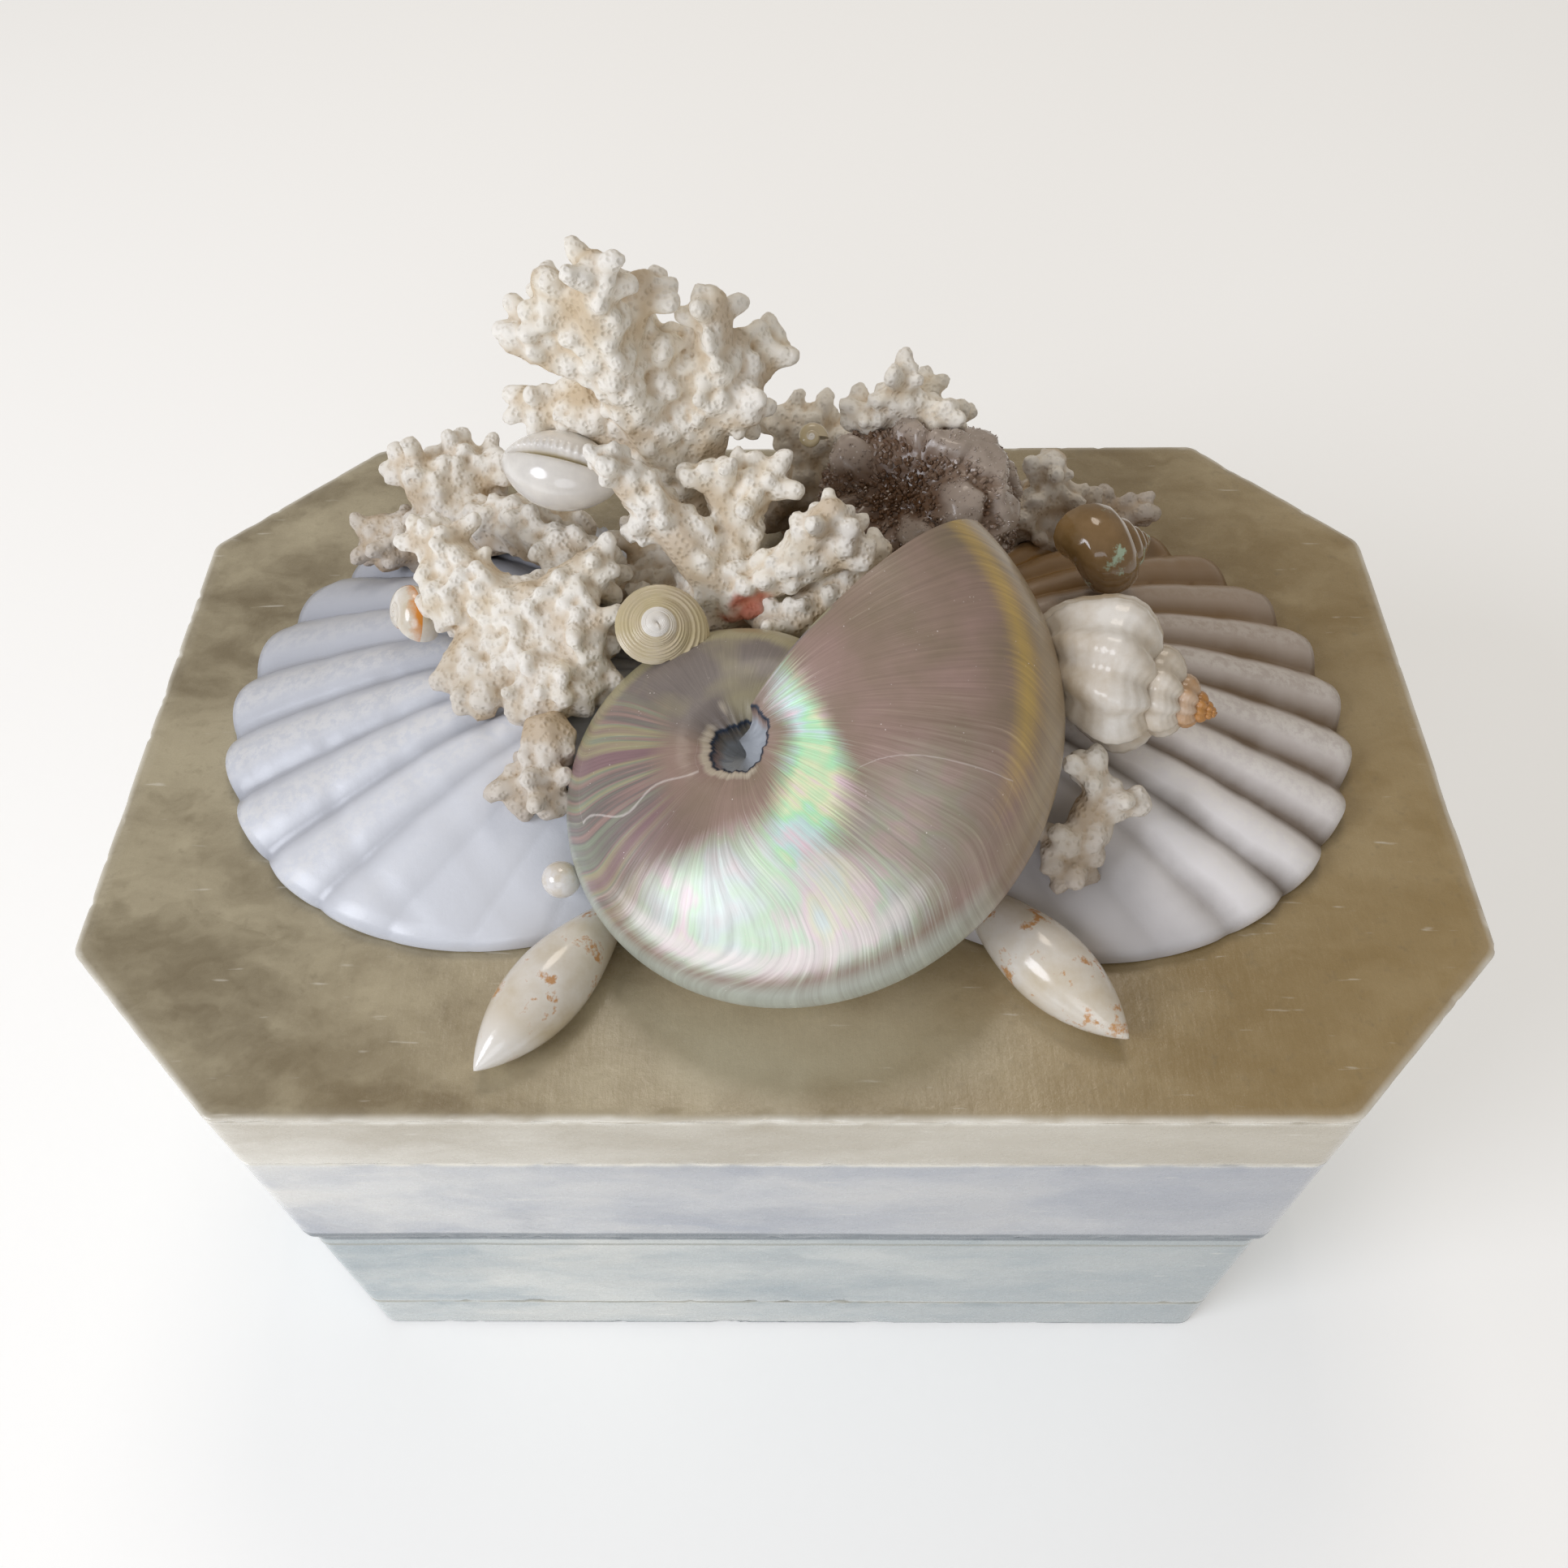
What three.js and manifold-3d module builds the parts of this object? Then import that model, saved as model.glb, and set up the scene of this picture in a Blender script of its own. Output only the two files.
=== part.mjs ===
// An eight-sided keepsake box, veneered with sheets of shell, with a loose lid that carries
// a glued arrangement of seashells, corals and a small druzy geode.
// Millimetres, +Z up. The origin is the middle of the underside, +X to the right, +Y to the back.
import * as THREE from 'three';
import { mergeVertices } from 'three/addons/utils/BufferGeometryUtils.js';
import { ConvexGeometry } from 'three/addons/geometries/ConvexGeometry.js';
import Module from 'manifold-3d';

const wasm = await Module();
wasm.setup();

// Box sizes
const LENGTH = 305;
const WIDTH = 200;
const CORNER = 38;
const CORNER_RADIUS = 5;
const BASE_HEIGHT = 77;
const SHADOW_GAP = 3;
const LID_RISE = 72;
const BASE_STEP = 1.5;
const WALL = 8;
const FLOOR = 8;
const TOP_PANEL = 8;
const LIP_THICKNESS = 3.5;
const LIP_RISE = 11;
const LIP_CLEARANCE = 0.4;
const VENEER = 1.2;
const GLUE = 0.3;
const FOOT_BAND = 21;
const LID_UPPER_BAND = 24;
const BAND_GAP = 0.3;
const FOOT_REVEAL = 0.5;

// Gap kept between two pieces of the arrangement where they touch
const TOUCH = 0.3;

// Sizes of the shells and stones
const NAUTILUS_START_RADIUS = 25.3;
const NAUTILUS_GROWTH = 0.147;
const NAUTILUS_BREADTH = 0.39;
const NAUTILUS_UMBILICUS = 5.5;
const NAUTILUS_WALL = 2.2;
const SCALLOP_RADIUS = 65;
const SCALLOP_DOME = 20;
const SCALLOP_THICKNESS = 3;
const OLIVE_LENGTH = 52;
const OLIVE_RADIUS = 9;
const WHELK_LENGTH = 58;
const WHELK_RADIUS = 17;
const COWRIE_LENGTH = 29;
const COWRIE_RADIUS = 9.5;
const TOP_SHELL_RADIUS = 9.5;
const TOP_SHELL_HEIGHT = 11;
const MOON_RADIUS = 7.5;
const MOON_HEIGHT = 11;
const TURBAN_RADIUS = 14;
const TURBAN_HEIGHT = 18;
const SMALL_SNAIL_RADIUS = 4.2;
const SMALL_SNAIL_HEIGHT = 4;
const PEARL_RADIUS = 4;
const GEODE_LENGTH = 50;
const GEODE_DEPTH = 34;
const GEODE_HEIGHT = 38;

// Heights that follow from the box sizes
const LID_BOTTOM = BASE_HEIGHT + SHADOW_GAP;
const LID_TOP = LID_BOTTOM + LID_RISE;
const LIP_TOP = BASE_HEIGHT + LIP_RISE;
const CORE_INSET = VENEER + GLUE;
const CORE_TOP = LID_TOP - VENEER - GLUE;
const HALF_TURN = Math.PI;
const FULL_TURN = 2 * Math.PI;
const GOLDEN_ANGLE = HALF_TURN * (3 - Math.sqrt(5));

const degrees = (angle) => THREE.MathUtils.degToRad(angle);
const mix = THREE.MathUtils.lerp;
const vec = (x, y, z) => new THREE.Vector3(x, y, z);

// Meshes and solids

// A closed triangle mesh turned so that its faces point out
function weld(points, triangles) {
  const flat = new THREE.BufferGeometry();
  flat.setAttribute('position', new THREE.Float32BufferAttribute(points.flatMap((p) => p.toArray()), 3));
  flat.setIndex(triangles.flat());
  const merged = mergeVertices(flat, 1e-4);
  const index = merged.index.array;
  const position = merged.attributes.position;
  const kept = [];
  let volume = 0;
  for (let k = 0; k < index.length; k += 3) {
    const [a, b, c] = [index[k], index[k + 1], index[k + 2]];
    if (a === b || b === c || c === a) continue;
    kept.push([a, b, c]);
    const [p, q, r] = [a, b, c].map((i) => vec(0, 0, 0).fromBufferAttribute(position, i));
    volume += p.dot(q.cross(r));
  }
  merged.setIndex(kept.flatMap(([a, b, c]) => (volume > 0 ? [a, b, c] : [a, c, b])));
  return merged;
}

// Rows of points round an axis, joined row to row; a row of one point closes an end
function skin(rows) {
  const points = rows.flat();
  const starts = [];
  rows.reduce((start, row) => (starts.push(start), start + row.length), 0);
  const triangles = [];
  for (let k = 0; k + 1 < rows.length; k += 1) {
    const count = Math.max(rows[k].length, rows[k + 1].length);
    const at = (row, i) => starts[row] + (rows[row].length === 1 ? 0 : i % count);
    for (let i = 0; i < count; i += 1) {
      triangles.push([at(k, i), at(k, i + 1), at(k + 1, i + 1)]);
      triangles.push([at(k, i), at(k + 1, i + 1), at(k + 1, i)]);
    }
  }
  return weld(points, triangles);
}

// Two grids of points of the same size, a top and an underside, joined along their four edges
function sheet(top, underside) {
  const rows = top.length;
  const columns = top[0].length;
  const points = [...top.flat(), ...underside.flat()];
  const upper = (i, j) => i * columns + j;
  const lower = (i, j) => rows * columns + i * columns + j;
  const triangles = [];
  const quad = (a, b, c, d) => triangles.push([a, b, c], [a, c, d]);
  for (let i = 0; i + 1 < rows; i += 1) {
    for (let j = 0; j + 1 < columns; j += 1) {
      quad(upper(i, j), upper(i + 1, j), upper(i + 1, j + 1), upper(i, j + 1));
      quad(lower(i, j), lower(i, j + 1), lower(i + 1, j + 1), lower(i + 1, j));
    }
    quad(upper(i, 0), lower(i, 0), lower(i + 1, 0), upper(i + 1, 0));
    quad(upper(i + 1, columns - 1), lower(i + 1, columns - 1), lower(i, columns - 1), upper(i, columns - 1));
  }
  for (let j = 0; j + 1 < columns; j += 1) {
    quad(upper(0, j + 1), lower(0, j + 1), lower(0, j), upper(0, j));
    quad(upper(rows - 1, j), lower(rows - 1, j), lower(rows - 1, j + 1), upper(rows - 1, j + 1));
  }
  return weld(points, triangles);
}

function solid(geometry) {
  const bare = geometry.clone();
  bare.deleteAttribute('normal');
  bare.deleteAttribute('uv');
  const merged = mergeVertices(bare, 1e-4);
  return new wasm.Manifold(new wasm.Mesh({
    numProp: 3,
    vertProperties: new Float32Array(merged.attributes.position.array),
    triVerts: new Uint32Array(merged.index.array),
  }));
}

function geometryOf(body) {
  const mesh = body.getMesh();
  const geometry = new THREE.BufferGeometry();
  geometry.setAttribute('position', new THREE.Float32BufferAttribute(mesh.vertProperties, mesh.numProp));
  geometry.setIndex(Array.from(mesh.triVerts));
  geometry.computeVertexNormals();
  return geometry;
}

const join = (bodies) => bodies.reduce((whole, body) => whole.add(body));

// The largest piece of a body that a cut has left in several
function largest(body) {
  return body.decompose().reduce((best, part) => (part.volume() > best.volume() ? part : best));
}

// Octagon with 45 degree corners and slightly rounded edges, drawn inset from the box's outline
function octagon(inset) {
  const x = LENGTH / 2 - inset;
  const y = WIDTH / 2 - inset;
  const leg = CORNER - inset * (2 - Math.SQRT2);
  const corners = [[x, -y + leg], [x, y - leg], [x - leg, y], [leg - x, y],
    [-x, y - leg], [-x, leg - y], [leg - x, -y], [x - leg, -y]].map(([a, b]) => new THREE.Vector2(a, b));
  const shape = new THREE.Shape();
  const reach = CORNER_RADIUS * Math.tan(HALF_TURN / 8);
  corners.forEach((corner, i) => {
    const before = corners[(i + 7) % 8];
    const after = corners[(i + 1) % 8];
    const enter = before.clone().sub(corner).setLength(reach).add(corner);
    const leave = after.clone().sub(corner).setLength(reach).add(corner);
    if (i === 0) shape.moveTo(enter.x, enter.y);
    else shape.lineTo(enter.x, enter.y);
    shape.quadraticCurveTo(corner.x, corner.y, leave.x, leave.y);
  });
  shape.closePath();
  return shape;
}

function prism(inset, bottom, top, holeInset = 0) {
  const shape = octagon(inset);
  if (holeInset > 0) shape.holes.push(octagon(holeInset));
  const geometry = new THREE.ExtrudeGeometry(shape, {
    depth: top - bottom, bevelEnabled: false, curveSegments: 2,
  });
  return geometry.translate(0, 0, bottom);
}

// The box, hollow below and under the lid

function baseBox() {
  const outer = BASE_STEP + CORE_INSET;
  const inner = outer + WALL;
  const body = solid(prism(outer, 0, BASE_HEIGHT));
  const lip = solid(prism(inner - LIP_THICKNESS, FLOOR, LIP_TOP));
  const room = solid(prism(inner, FLOOR, LIP_TOP + WALL));
  return geometryOf(body.add(lip).subtract(room));
}

function lidShell() {
  const inner = BASE_STEP + CORE_INSET + WALL;
  const body = solid(prism(CORE_INSET, LID_BOTTOM, CORE_TOP));
  const room = solid(prism(inner, LID_BOTTOM - WALL, CORE_TOP - TOP_PANEL));
  const rebate = solid(prism(inner - LIP_THICKNESS - LIP_CLEARANCE, LID_BOTTOM - WALL, LIP_TOP));
  return geometryOf(body.subtract(room).subtract(rebate));
}

function band(step, bottom, top) {
  return prism(step, bottom, top, step + VENEER);
}

// Frames for the pieces of the arrangement: heights are above the lid's top face

// A frame at a point with its z axis along a direction and its x axis towards a side
function frameAt(place, along, side = vec(0, 0, 1)) {
  const z = along.clone().normalize();
  const y = z.clone().cross(side).normalize();
  const x = y.clone().cross(z);
  return new THREE.Matrix4().makeBasis(x, y, z).setPosition(place);
}

// A shell turned round an axis: radius(t, turn) and height(t) for t from 0 to 1, closed at both ends
function turned(frame, steps, around, radius, height) {
  const rows = [];
  for (let k = 0; k <= steps; k += 1) {
    const t = k / steps;
    const end = k === 0 || k === steps;
    const row = [];
    for (let i = 0; i < (end ? 1 : around); i += 1) {
      const turn = (FULL_TURN * i) / around;
      const r = end ? 0 : radius(t, turn);
      row.push(vec(r * Math.cos(turn), r * Math.sin(turn), height(t, turn)).applyMatrix4(frame));
    }
    rows.push(row);
  }
  return solid(skin(rows));
}

// The chambered nautilus shell, lying on its side

const NAUTILUS_PLACE = vec(-5.2, -33.6, 28);
const NAUTILUS_BACK_TILT = degrees(14.7);
const NAUTILUS_SIDE_TILT = degrees(-10.7);
const NAUTILUS_MOUTH = degrees(45);
const NAUTILUS_CHAMBER = degrees(120);
const NAUTILUS_SHOULDER = 0.36;
const NAUTILUS_RIM = 0.31;
const NAUTILUS_FUNNEL = 4;
const NAUTILUS_FLANK = 2.3;
const NAUTILUS_KEEL = 0.56;
const UMBILICUS_REACH = 80;
const NAUTILUS_SECTIONS = 22;
const CHAMBER_SECTIONS = 6;

const nautilusFrame = new THREE.Matrix4()
  .makeRotationX(NAUTILUS_BACK_TILT)
  .multiply(new THREE.Matrix4().makeRotationY(NAUTILUS_SIDE_TILT))
  .setPosition(NAUTILUS_PLACE);

const whorlRadius = (turn) => NAUTILUS_START_RADIUS * Math.exp(NAUTILUS_GROWTH * turn);

// Half of the whorl's section: distance from the coil's axis and height over its middle plane.
// The whole shell has a funnel down to its umbilicus; a wedge of a whorl is closed over it.
function whorlProfile(turn, grow, wedge) {
  const r = whorlRadius(turn) + grow;
  const breadth = NAUTILUS_BREADTH * whorlRadius(turn) + grow;
  const rim = Math.min(NAUTILUS_UMBILICUS - grow, r / 3);
  const rimHeight = NAUTILUS_RIM * whorlRadius(turn) + grow;
  const shoulder = NAUTILUS_SHOULDER * r;
  const funnel = [[0, NAUTILUS_FUNNEL + grow], [0.7 * rim, mix(NAUTILUS_FUNNEL, rimHeight, 0.6)]];
  const half = [...(wedge ? [[0, rimHeight]] : funnel), [rim, rimHeight]];
  for (const share of [0.45, 1]) {
    const fall = (1 - share) ** 2;
    half.push([mix(rim, shoulder, share), breadth - (breadth - rimHeight) * fall]);
  }
  for (const share of [0.35, 0.65, 0.87, 0.98, 1]) {
    half.push([mix(shoulder, r, share), breadth * (1 - share ** NAUTILUS_FLANK) ** NAUTILUS_KEEL]);
  }
  return half;
}

// Rows run round the axis, so the step where the last section meets the first is the mouth's face.
// A wedge has a column of points at the coil's centre, which closes both of its ends.
function whorlSolid(from, to, grow, sections, wedge = false) {
  const columns = [];
  for (let i = 0; i <= sections; i += 1) {
    const turn = mix(from, to, i / sections);
    const half = whorlProfile(turn, grow, wedge);
    const loop = [...half.map(([r, z]) => [r, -z]), ...half.slice(0, -1).reverse()];
    columns.push(loop.map(([r, z]) => vec(r * Math.cos(turn), r * Math.sin(turn), z)));
  }
  if (wedge) columns.push(columns[0].map(() => vec(0, 0, 0)));
  const rows = columns[0].map((_, j) => columns.map((column) => column[j]));
  rows[0] = [rows[0][0]];
  rows[rows.length - 1] = [rows[rows.length - 1][0]];
  return solid(skin(rows).applyMatrix4(nautilusFrame));
}

function nautilusOuter(grow) {
  return whorlSolid(NAUTILUS_MOUTH, NAUTILUS_MOUTH + FULL_TURN, grow, NAUTILUS_SECTIONS);
}

// The body chamber: the last whorl's inside, clear of the whorl before it and of the umbilicus
function nautilus() {
  const lip = NAUTILUS_MOUTH + FULL_TURN;
  const beyond = degrees(1);
  const wedge = (turns, grow) => whorlSolid(
    lip - NAUTILUS_CHAMBER + turns * FULL_TURN, lip + beyond + turns * FULL_TURN,
    grow, CHAMBER_SECTIONS, true,
  );
  const chamber = wedge(0, -NAUTILUS_WALL);
  const before = wedge(-1, NAUTILUS_WALL);
  const core = solid(new THREE.CylinderGeometry(
    NAUTILUS_UMBILICUS + NAUTILUS_WALL, NAUTILUS_UMBILICUS + NAUTILUS_WALL, UMBILICUS_REACH, 16,
  ).rotateX(HALF_TURN / 2).applyMatrix4(nautilusFrame));
  return largest(nautilusOuter(0).subtract(largest(chamber.subtract(before).subtract(core))));
}

// Scallop valves, hollow side down

const SCALLOP_PITCH = degrees(10);
const SCALLOP_SPAN = degrees(68);
const SCALLOP_UMBO_DISTANCE = 49;
const SCALLOP_LEAN = degrees(13);
const SCALLOP_TOOTH = 1.2;
const SCALLOP_PEAK = 0.75;
const SCALLOP_SIDE = degrees(80);
const SCALLOP_ROWS = [0, 0.18, 0.42, 0.74, 1];

// side is -1 for the left valve and 1 for the right; ribHeight is what its ribs stand proud
function scallop(side, centre, ribHeight, grow) {
  const umbo = vec(centre.x - side * SCALLOP_UMBO_DISTANCE * Math.cos(SCALLOP_LEAN),
    centre.y - SCALLOP_UMBO_DISTANCE * Math.sin(SCALLOP_LEAN), 0);
  const axis = Math.atan2(centre.y - umbo.y, centre.x - umbo.x);
  const columns = Math.round((2 * SCALLOP_SPAN) / SCALLOP_PITCH) * 2;
  const top = [];
  const underside = [];
  for (const share of SCALLOP_ROWS) {
    const upper = [];
    const lower = [];
    for (let j = 0; j <= columns; j += 1) {
      const angle = mix(-SCALLOP_SPAN, SCALLOP_SPAN, j / columns);
      const chord = SCALLOP_UMBO_DISTANCE * Math.sin(angle);
      const rib = j % 2 === 0 ? -1 : 1;
      const reach = SCALLOP_UMBO_DISTANCE * Math.cos(angle) + Math.sqrt(SCALLOP_RADIUS ** 2 - chord ** 2)
        + SCALLOP_TOOTH * rib + grow;
      const arch = Math.sin(HALF_TURN * share ** SCALLOP_PEAK)
        * Math.sqrt(Math.cos((angle / SCALLOP_SPAN) * SCALLOP_SIDE));
      const height = SCALLOP_DOME * arch + ribHeight * share * (0.5 + 0.5 * rib);
      const x = umbo.x + reach * share * Math.cos(axis + angle);
      const y = umbo.y + reach * share * Math.sin(axis + angle);
      upper.push(vec(x, y, TOUCH + SCALLOP_THICKNESS + height + grow));
      lower.push(vec(x, y, TOUCH + Math.max(0, height - ribHeight * share * 0.3) - grow));
    }
    top.push(upper);
    underside.push(lower);
  }
  return solid(sheet(top, underside));
}

const SCALLOP_LEFT = vec(-66, 3, 0);
const SCALLOP_RIGHT = vec(67, 0, 0);
const LEFT_RIB = 2.2;
const RIGHT_RIB = 3.2;

// Olive shells: slender, fullest near the front third and pointed at both ends

const OLIVE_FRONT = 0.72;
const OLIVE_FULLNESS = 0.85;
const OLIVE_TAPER = 0.15;
const POINT_RADIUS = 0.6;

function olive(place, along, grow) {
  const radius = (t) => OLIVE_RADIUS * Math.sin(HALF_TURN * t ** OLIVE_FRONT) ** OLIVE_FULLNESS
    * (1 - OLIVE_TAPER * t) + grow;
  const height = (t) => (OLIVE_LENGTH + 2 * grow) * t - grow;
  return turned(frameAt(place, along), 9, 12, (t) => Math.max(POINT_RADIUS, radius(t)), height);
}

const OLIVE_LEFT = { place: vec(-60.8, -91.7, 5), along: vec(26, 37.6, 0.5) };
const OLIVE_RIGHT = { place: vec(70.2, -84.7, 5), along: vec(-26.6, 30.6, 0.5) };

// The whelk: shouldered whorls, each crossed by ribs along the shell

const WHELK = { place: vec(90.5, -28, 38), along: vec(-31, 15, -1.5) };
const WHELK_WHORLS = 4.5;
const WHELK_RIBS = 8;
const WHELK_SHOULDER = 0.62;
const WHELK_SPIRE = 0.85;
const WHELK_CANAL = 0.28;
const WHELK_SUTURE = 0.14;
const WHELK_RIB_HEIGHT = 0.06;

function whelk(grow) {
  const rise = (t) => Math.sin((HALF_TURN / 2) * (t / WHELK_SHOULDER) ** WHELK_SPIRE);
  const fall = (t) => 1 - ((t - WHELK_SHOULDER) / (1 - WHELK_SHOULDER)) ** 1.6 * (1 - WHELK_CANAL);
  const envelope = (t) => (t < WHELK_SHOULDER ? rise(t) : fall(t));
  const radius = (t, turn) => {
    const whorl = (t * WHELK_WHORLS + turn / FULL_TURN) % 1;
    const step = t < WHELK_SHOULDER ? 1 - WHELK_SUTURE * (1 - Math.sin(HALF_TURN * whorl)) : 1;
    const rib = 1 + WHELK_RIB_HEIGHT * Math.cos(WHELK_RIBS * turn);
    return WHELK_RADIUS * Math.max(0.08, envelope(t)) * step * rib + grow;
  };
  const height = (t) => (WHELK_LENGTH + 2 * grow) * t - grow;
  return turned(frameAt(WHELK.place, WHELK.along), 12, 2 * WHELK_RIBS, radius, height);
}

// The cowrie lies on its back, its toothed slit up

const COWRIE = { place: vec(-63.5, 38.5, 49.5), along: vec(24, -8, 0.5) };
const COWRIE_FULLNESS = 0.6;
const COWRIE_FLATNESS = 0.12;
const SLIT_DEPTH = 3;
const SLIT_WIDTH = 1.4;
const SLIT_OFFSET = 1.2;

function cowrie(grow) {
  const frame = frameAt(COWRIE.place, COWRIE.along);
  const radius = (t, turn) => COWRIE_RADIUS * Math.sin(HALF_TURN * t) ** COWRIE_FULLNESS
    * (1 - COWRIE_FLATNESS * Math.cos(turn) ** 2) + grow;
  const body = turned(frame, 8, 12, radius, (t) => (COWRIE_LENGTH + 2 * grow) * t - grow);
  if (grow > 0) return body;
  const slit = new THREE.SphereGeometry(1, 8, 6).scale(SLIT_DEPTH, SLIT_WIDTH, 0.44 * COWRIE_LENGTH)
    .translate(COWRIE_RADIUS * 0.9, SLIT_OFFSET, COWRIE_LENGTH / 2).applyMatrix4(frame);
  return body.subtract(solid(slit));
}

// Snail shells seen from the spire: a low cone of whorls over a rounded base

const SNAIL_BASE = 0.35;
const SNAIL_WHORL = 0.16;

function snail({ place, up, radius, height, whorls, bulge }, grow) {
  const frame = frameAt(place, up, vec(1, 0, 0));
  const size = (t) => {
    const rise = (t - SNAIL_BASE) / (1 - SNAIL_BASE);
    const cone = (1 - rise ** bulge) * (1 + SNAIL_WHORL * Math.abs(Math.sin(HALF_TURN * whorls * rise)));
    const belly = Math.sin((HALF_TURN / 2) * (t / SNAIL_BASE) ** 0.6);
    return radius * (t < SNAIL_BASE ? belly : Math.max(0.06, cone)) + grow;
  };
  return turned(frame, whorls * 3, 12, size, (t) => (t - SNAIL_BASE) * height + (t - 0.5) * 2 * grow);
}

const SNAILS = {
  top_shell: {
    place: vec(-27, -3.5, 38), up: vec(0.1, -0.45, 0.9), radius: TOP_SHELL_RADIUS, height: TOP_SHELL_HEIGHT,
    whorls: 3, bulge: 1.3,
  },
  turban_shell: {
    place: vec(72, 28, 28.5), up: vec(0.3, 0.1, 0.9), radius: TURBAN_RADIUS, height: TURBAN_HEIGHT,
    whorls: 3, bulge: 1.8,
  },
  moon_shell: {
    place: vec(-84, 11, 26), up: vec(-0.7, -0.3, 0.4), radius: MOON_RADIUS, height: MOON_HEIGHT,
    whorls: 2, bulge: 1.8,
  },
  small_snail: {
    place: vec(7, 50, 45), up: vec(0, -0.6, 0.8), radius: SMALL_SNAIL_RADIUS, height: SMALL_SNAIL_HEIGHT,
    whorls: 2, bulge: 1.4,
  },
};
const PEARL = vec(-46, -52.5, 14);

function pearl(grow) {
  return solid(new THREE.IcosahedronGeometry(PEARL_RADIUS + grow, 1).translate(...PEARL.toArray()));
}

// The druzy geode: a lump of rind with a hollow of small crystals

const GEODE = vec(32, 38, 34);
const GEODE_TURN = degrees(-8);
const GEODE_SQUARENESS = 0.35;
const GEODE_RIPPLE = 0.07;
const GEODE_FIT = 2.1;
const HOLLOW_SIZE = vec(13, 9, 9);
const HOLLOW_SHIFT = vec(-7, -9, -1);
const ripple = (p, count) => Math.sin(count * p.x + 1) * Math.sin(count * p.y + 2) * Math.sin(count * p.z);

function geode(grow) {
  const lump = new THREE.IcosahedronGeometry(1, 2);
  lump.deleteAttribute('normal');
  lump.deleteAttribute('uv');
  const geometry = mergeVertices(lump, 1e-4);
  const position = geometry.attributes.position;
  for (let i = 0; i < position.count; i += 1) {
    const p = vec(0, 0, 0).fromBufferAttribute(position, i);
    const widest = Math.max(Math.abs(p.x), Math.abs(p.y), Math.abs(p.z));
    const squared = p.clone().divideScalar(widest ** GEODE_SQUARENESS);
    squared.multiplyScalar(1 + GEODE_RIPPLE * ripple(p, 4));
    const half = vec(GEODE_LENGTH, GEODE_DEPTH, GEODE_HEIGHT).divideScalar(GEODE_FIT).addScalar(grow);
    position.setXYZ(i, ...squared.multiply(half).toArray());
  }
  const body = solid(geometry.rotateZ(GEODE_TURN).translate(...GEODE.toArray()));
  if (grow > 0) return body;
  const mouth = GEODE.clone().add(HOLLOW_SHIFT).add(vec(0, 0, GEODE_HEIGHT / 2));
  const hollow = new THREE.IcosahedronGeometry(1, 1).scale(...HOLLOW_SIZE.toArray())
    .translate(...mouth.toArray());
  return body.subtract(solid(hollow));
}

// Corals: stout arms that fork from hubs above a root, studded with short blunt knobs

const scatter = (seed) => {
  const value = Math.sin(seed * 12.9898) * 43758.5453;
  return value - Math.floor(value);
};

// A tapered limb with rounded ends, worked out from the corners of a ball at each end
function limb(Ball, from, to, fromRadius, toRadius) {
  const points = [];
  for (const [centre, radius] of [[from, fromRadius], [to, toRadius]]) {
    const ball = new Ball(radius, 0).attributes.position;
    for (let i = 0; i < ball.count; i += 1) {
      points.push(vec(0, 0, 0).fromBufferAttribute(ball, i).add(centre));
    }
  }
  return solid(new ConvexGeometry(points));
}

const HUB_SHARE = 0.85;
const KNOB_FLARE = 1.3;

// Each fork is a hub and its tips; waist and tip are radii; knobs is how many a tip's arm carries
function coral({ root, foot, forks, waist, tip, knobs, knob, seed }, grow) {
  const Arm = THREE.IcosahedronGeometry;
  const hubRadius = waist * HUB_SHARE + grow;
  const limbs = foot ? [limb(Arm, foot, root, waist + grow, waist + grow)] : [];
  forks.forEach(([hub, ...tips], fork) => {
    limbs.push(limb(Arm, root, hub, waist + grow, hubRadius));
    tips.forEach((end, k) => {
      limbs.push(limb(Arm, hub, end, hubRadius, tip + grow));
      const frame = frameAt(vec(0, 0, 0), end.clone().sub(hub), vec(0.3, 0.5, 0.8));
      for (let n = 0; n < knobs; n += 1) {
        const share = (n + 1) / (knobs + 0.6);
        const turn = (n + k * 3 + fork * 5) * GOLDEN_ANGLE;
        const reach = mix(waist * HUB_SHARE, tip, share) + knob * (0.6 + 0.5 * scatter(seed + n * 7 + k));
        const start = hub.clone().lerp(end, share);
        const out = vec(Math.cos(turn), Math.sin(turn), 0.5).setLength(reach).applyMatrix4(frame);
        const stem = start.clone().add(out);
        limbs.push(limb(THREE.OctahedronGeometry, start, stem, knob * KNOB_FLARE + grow, knob + grow));
      }
    });
  });
  return join(limbs);
}

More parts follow.
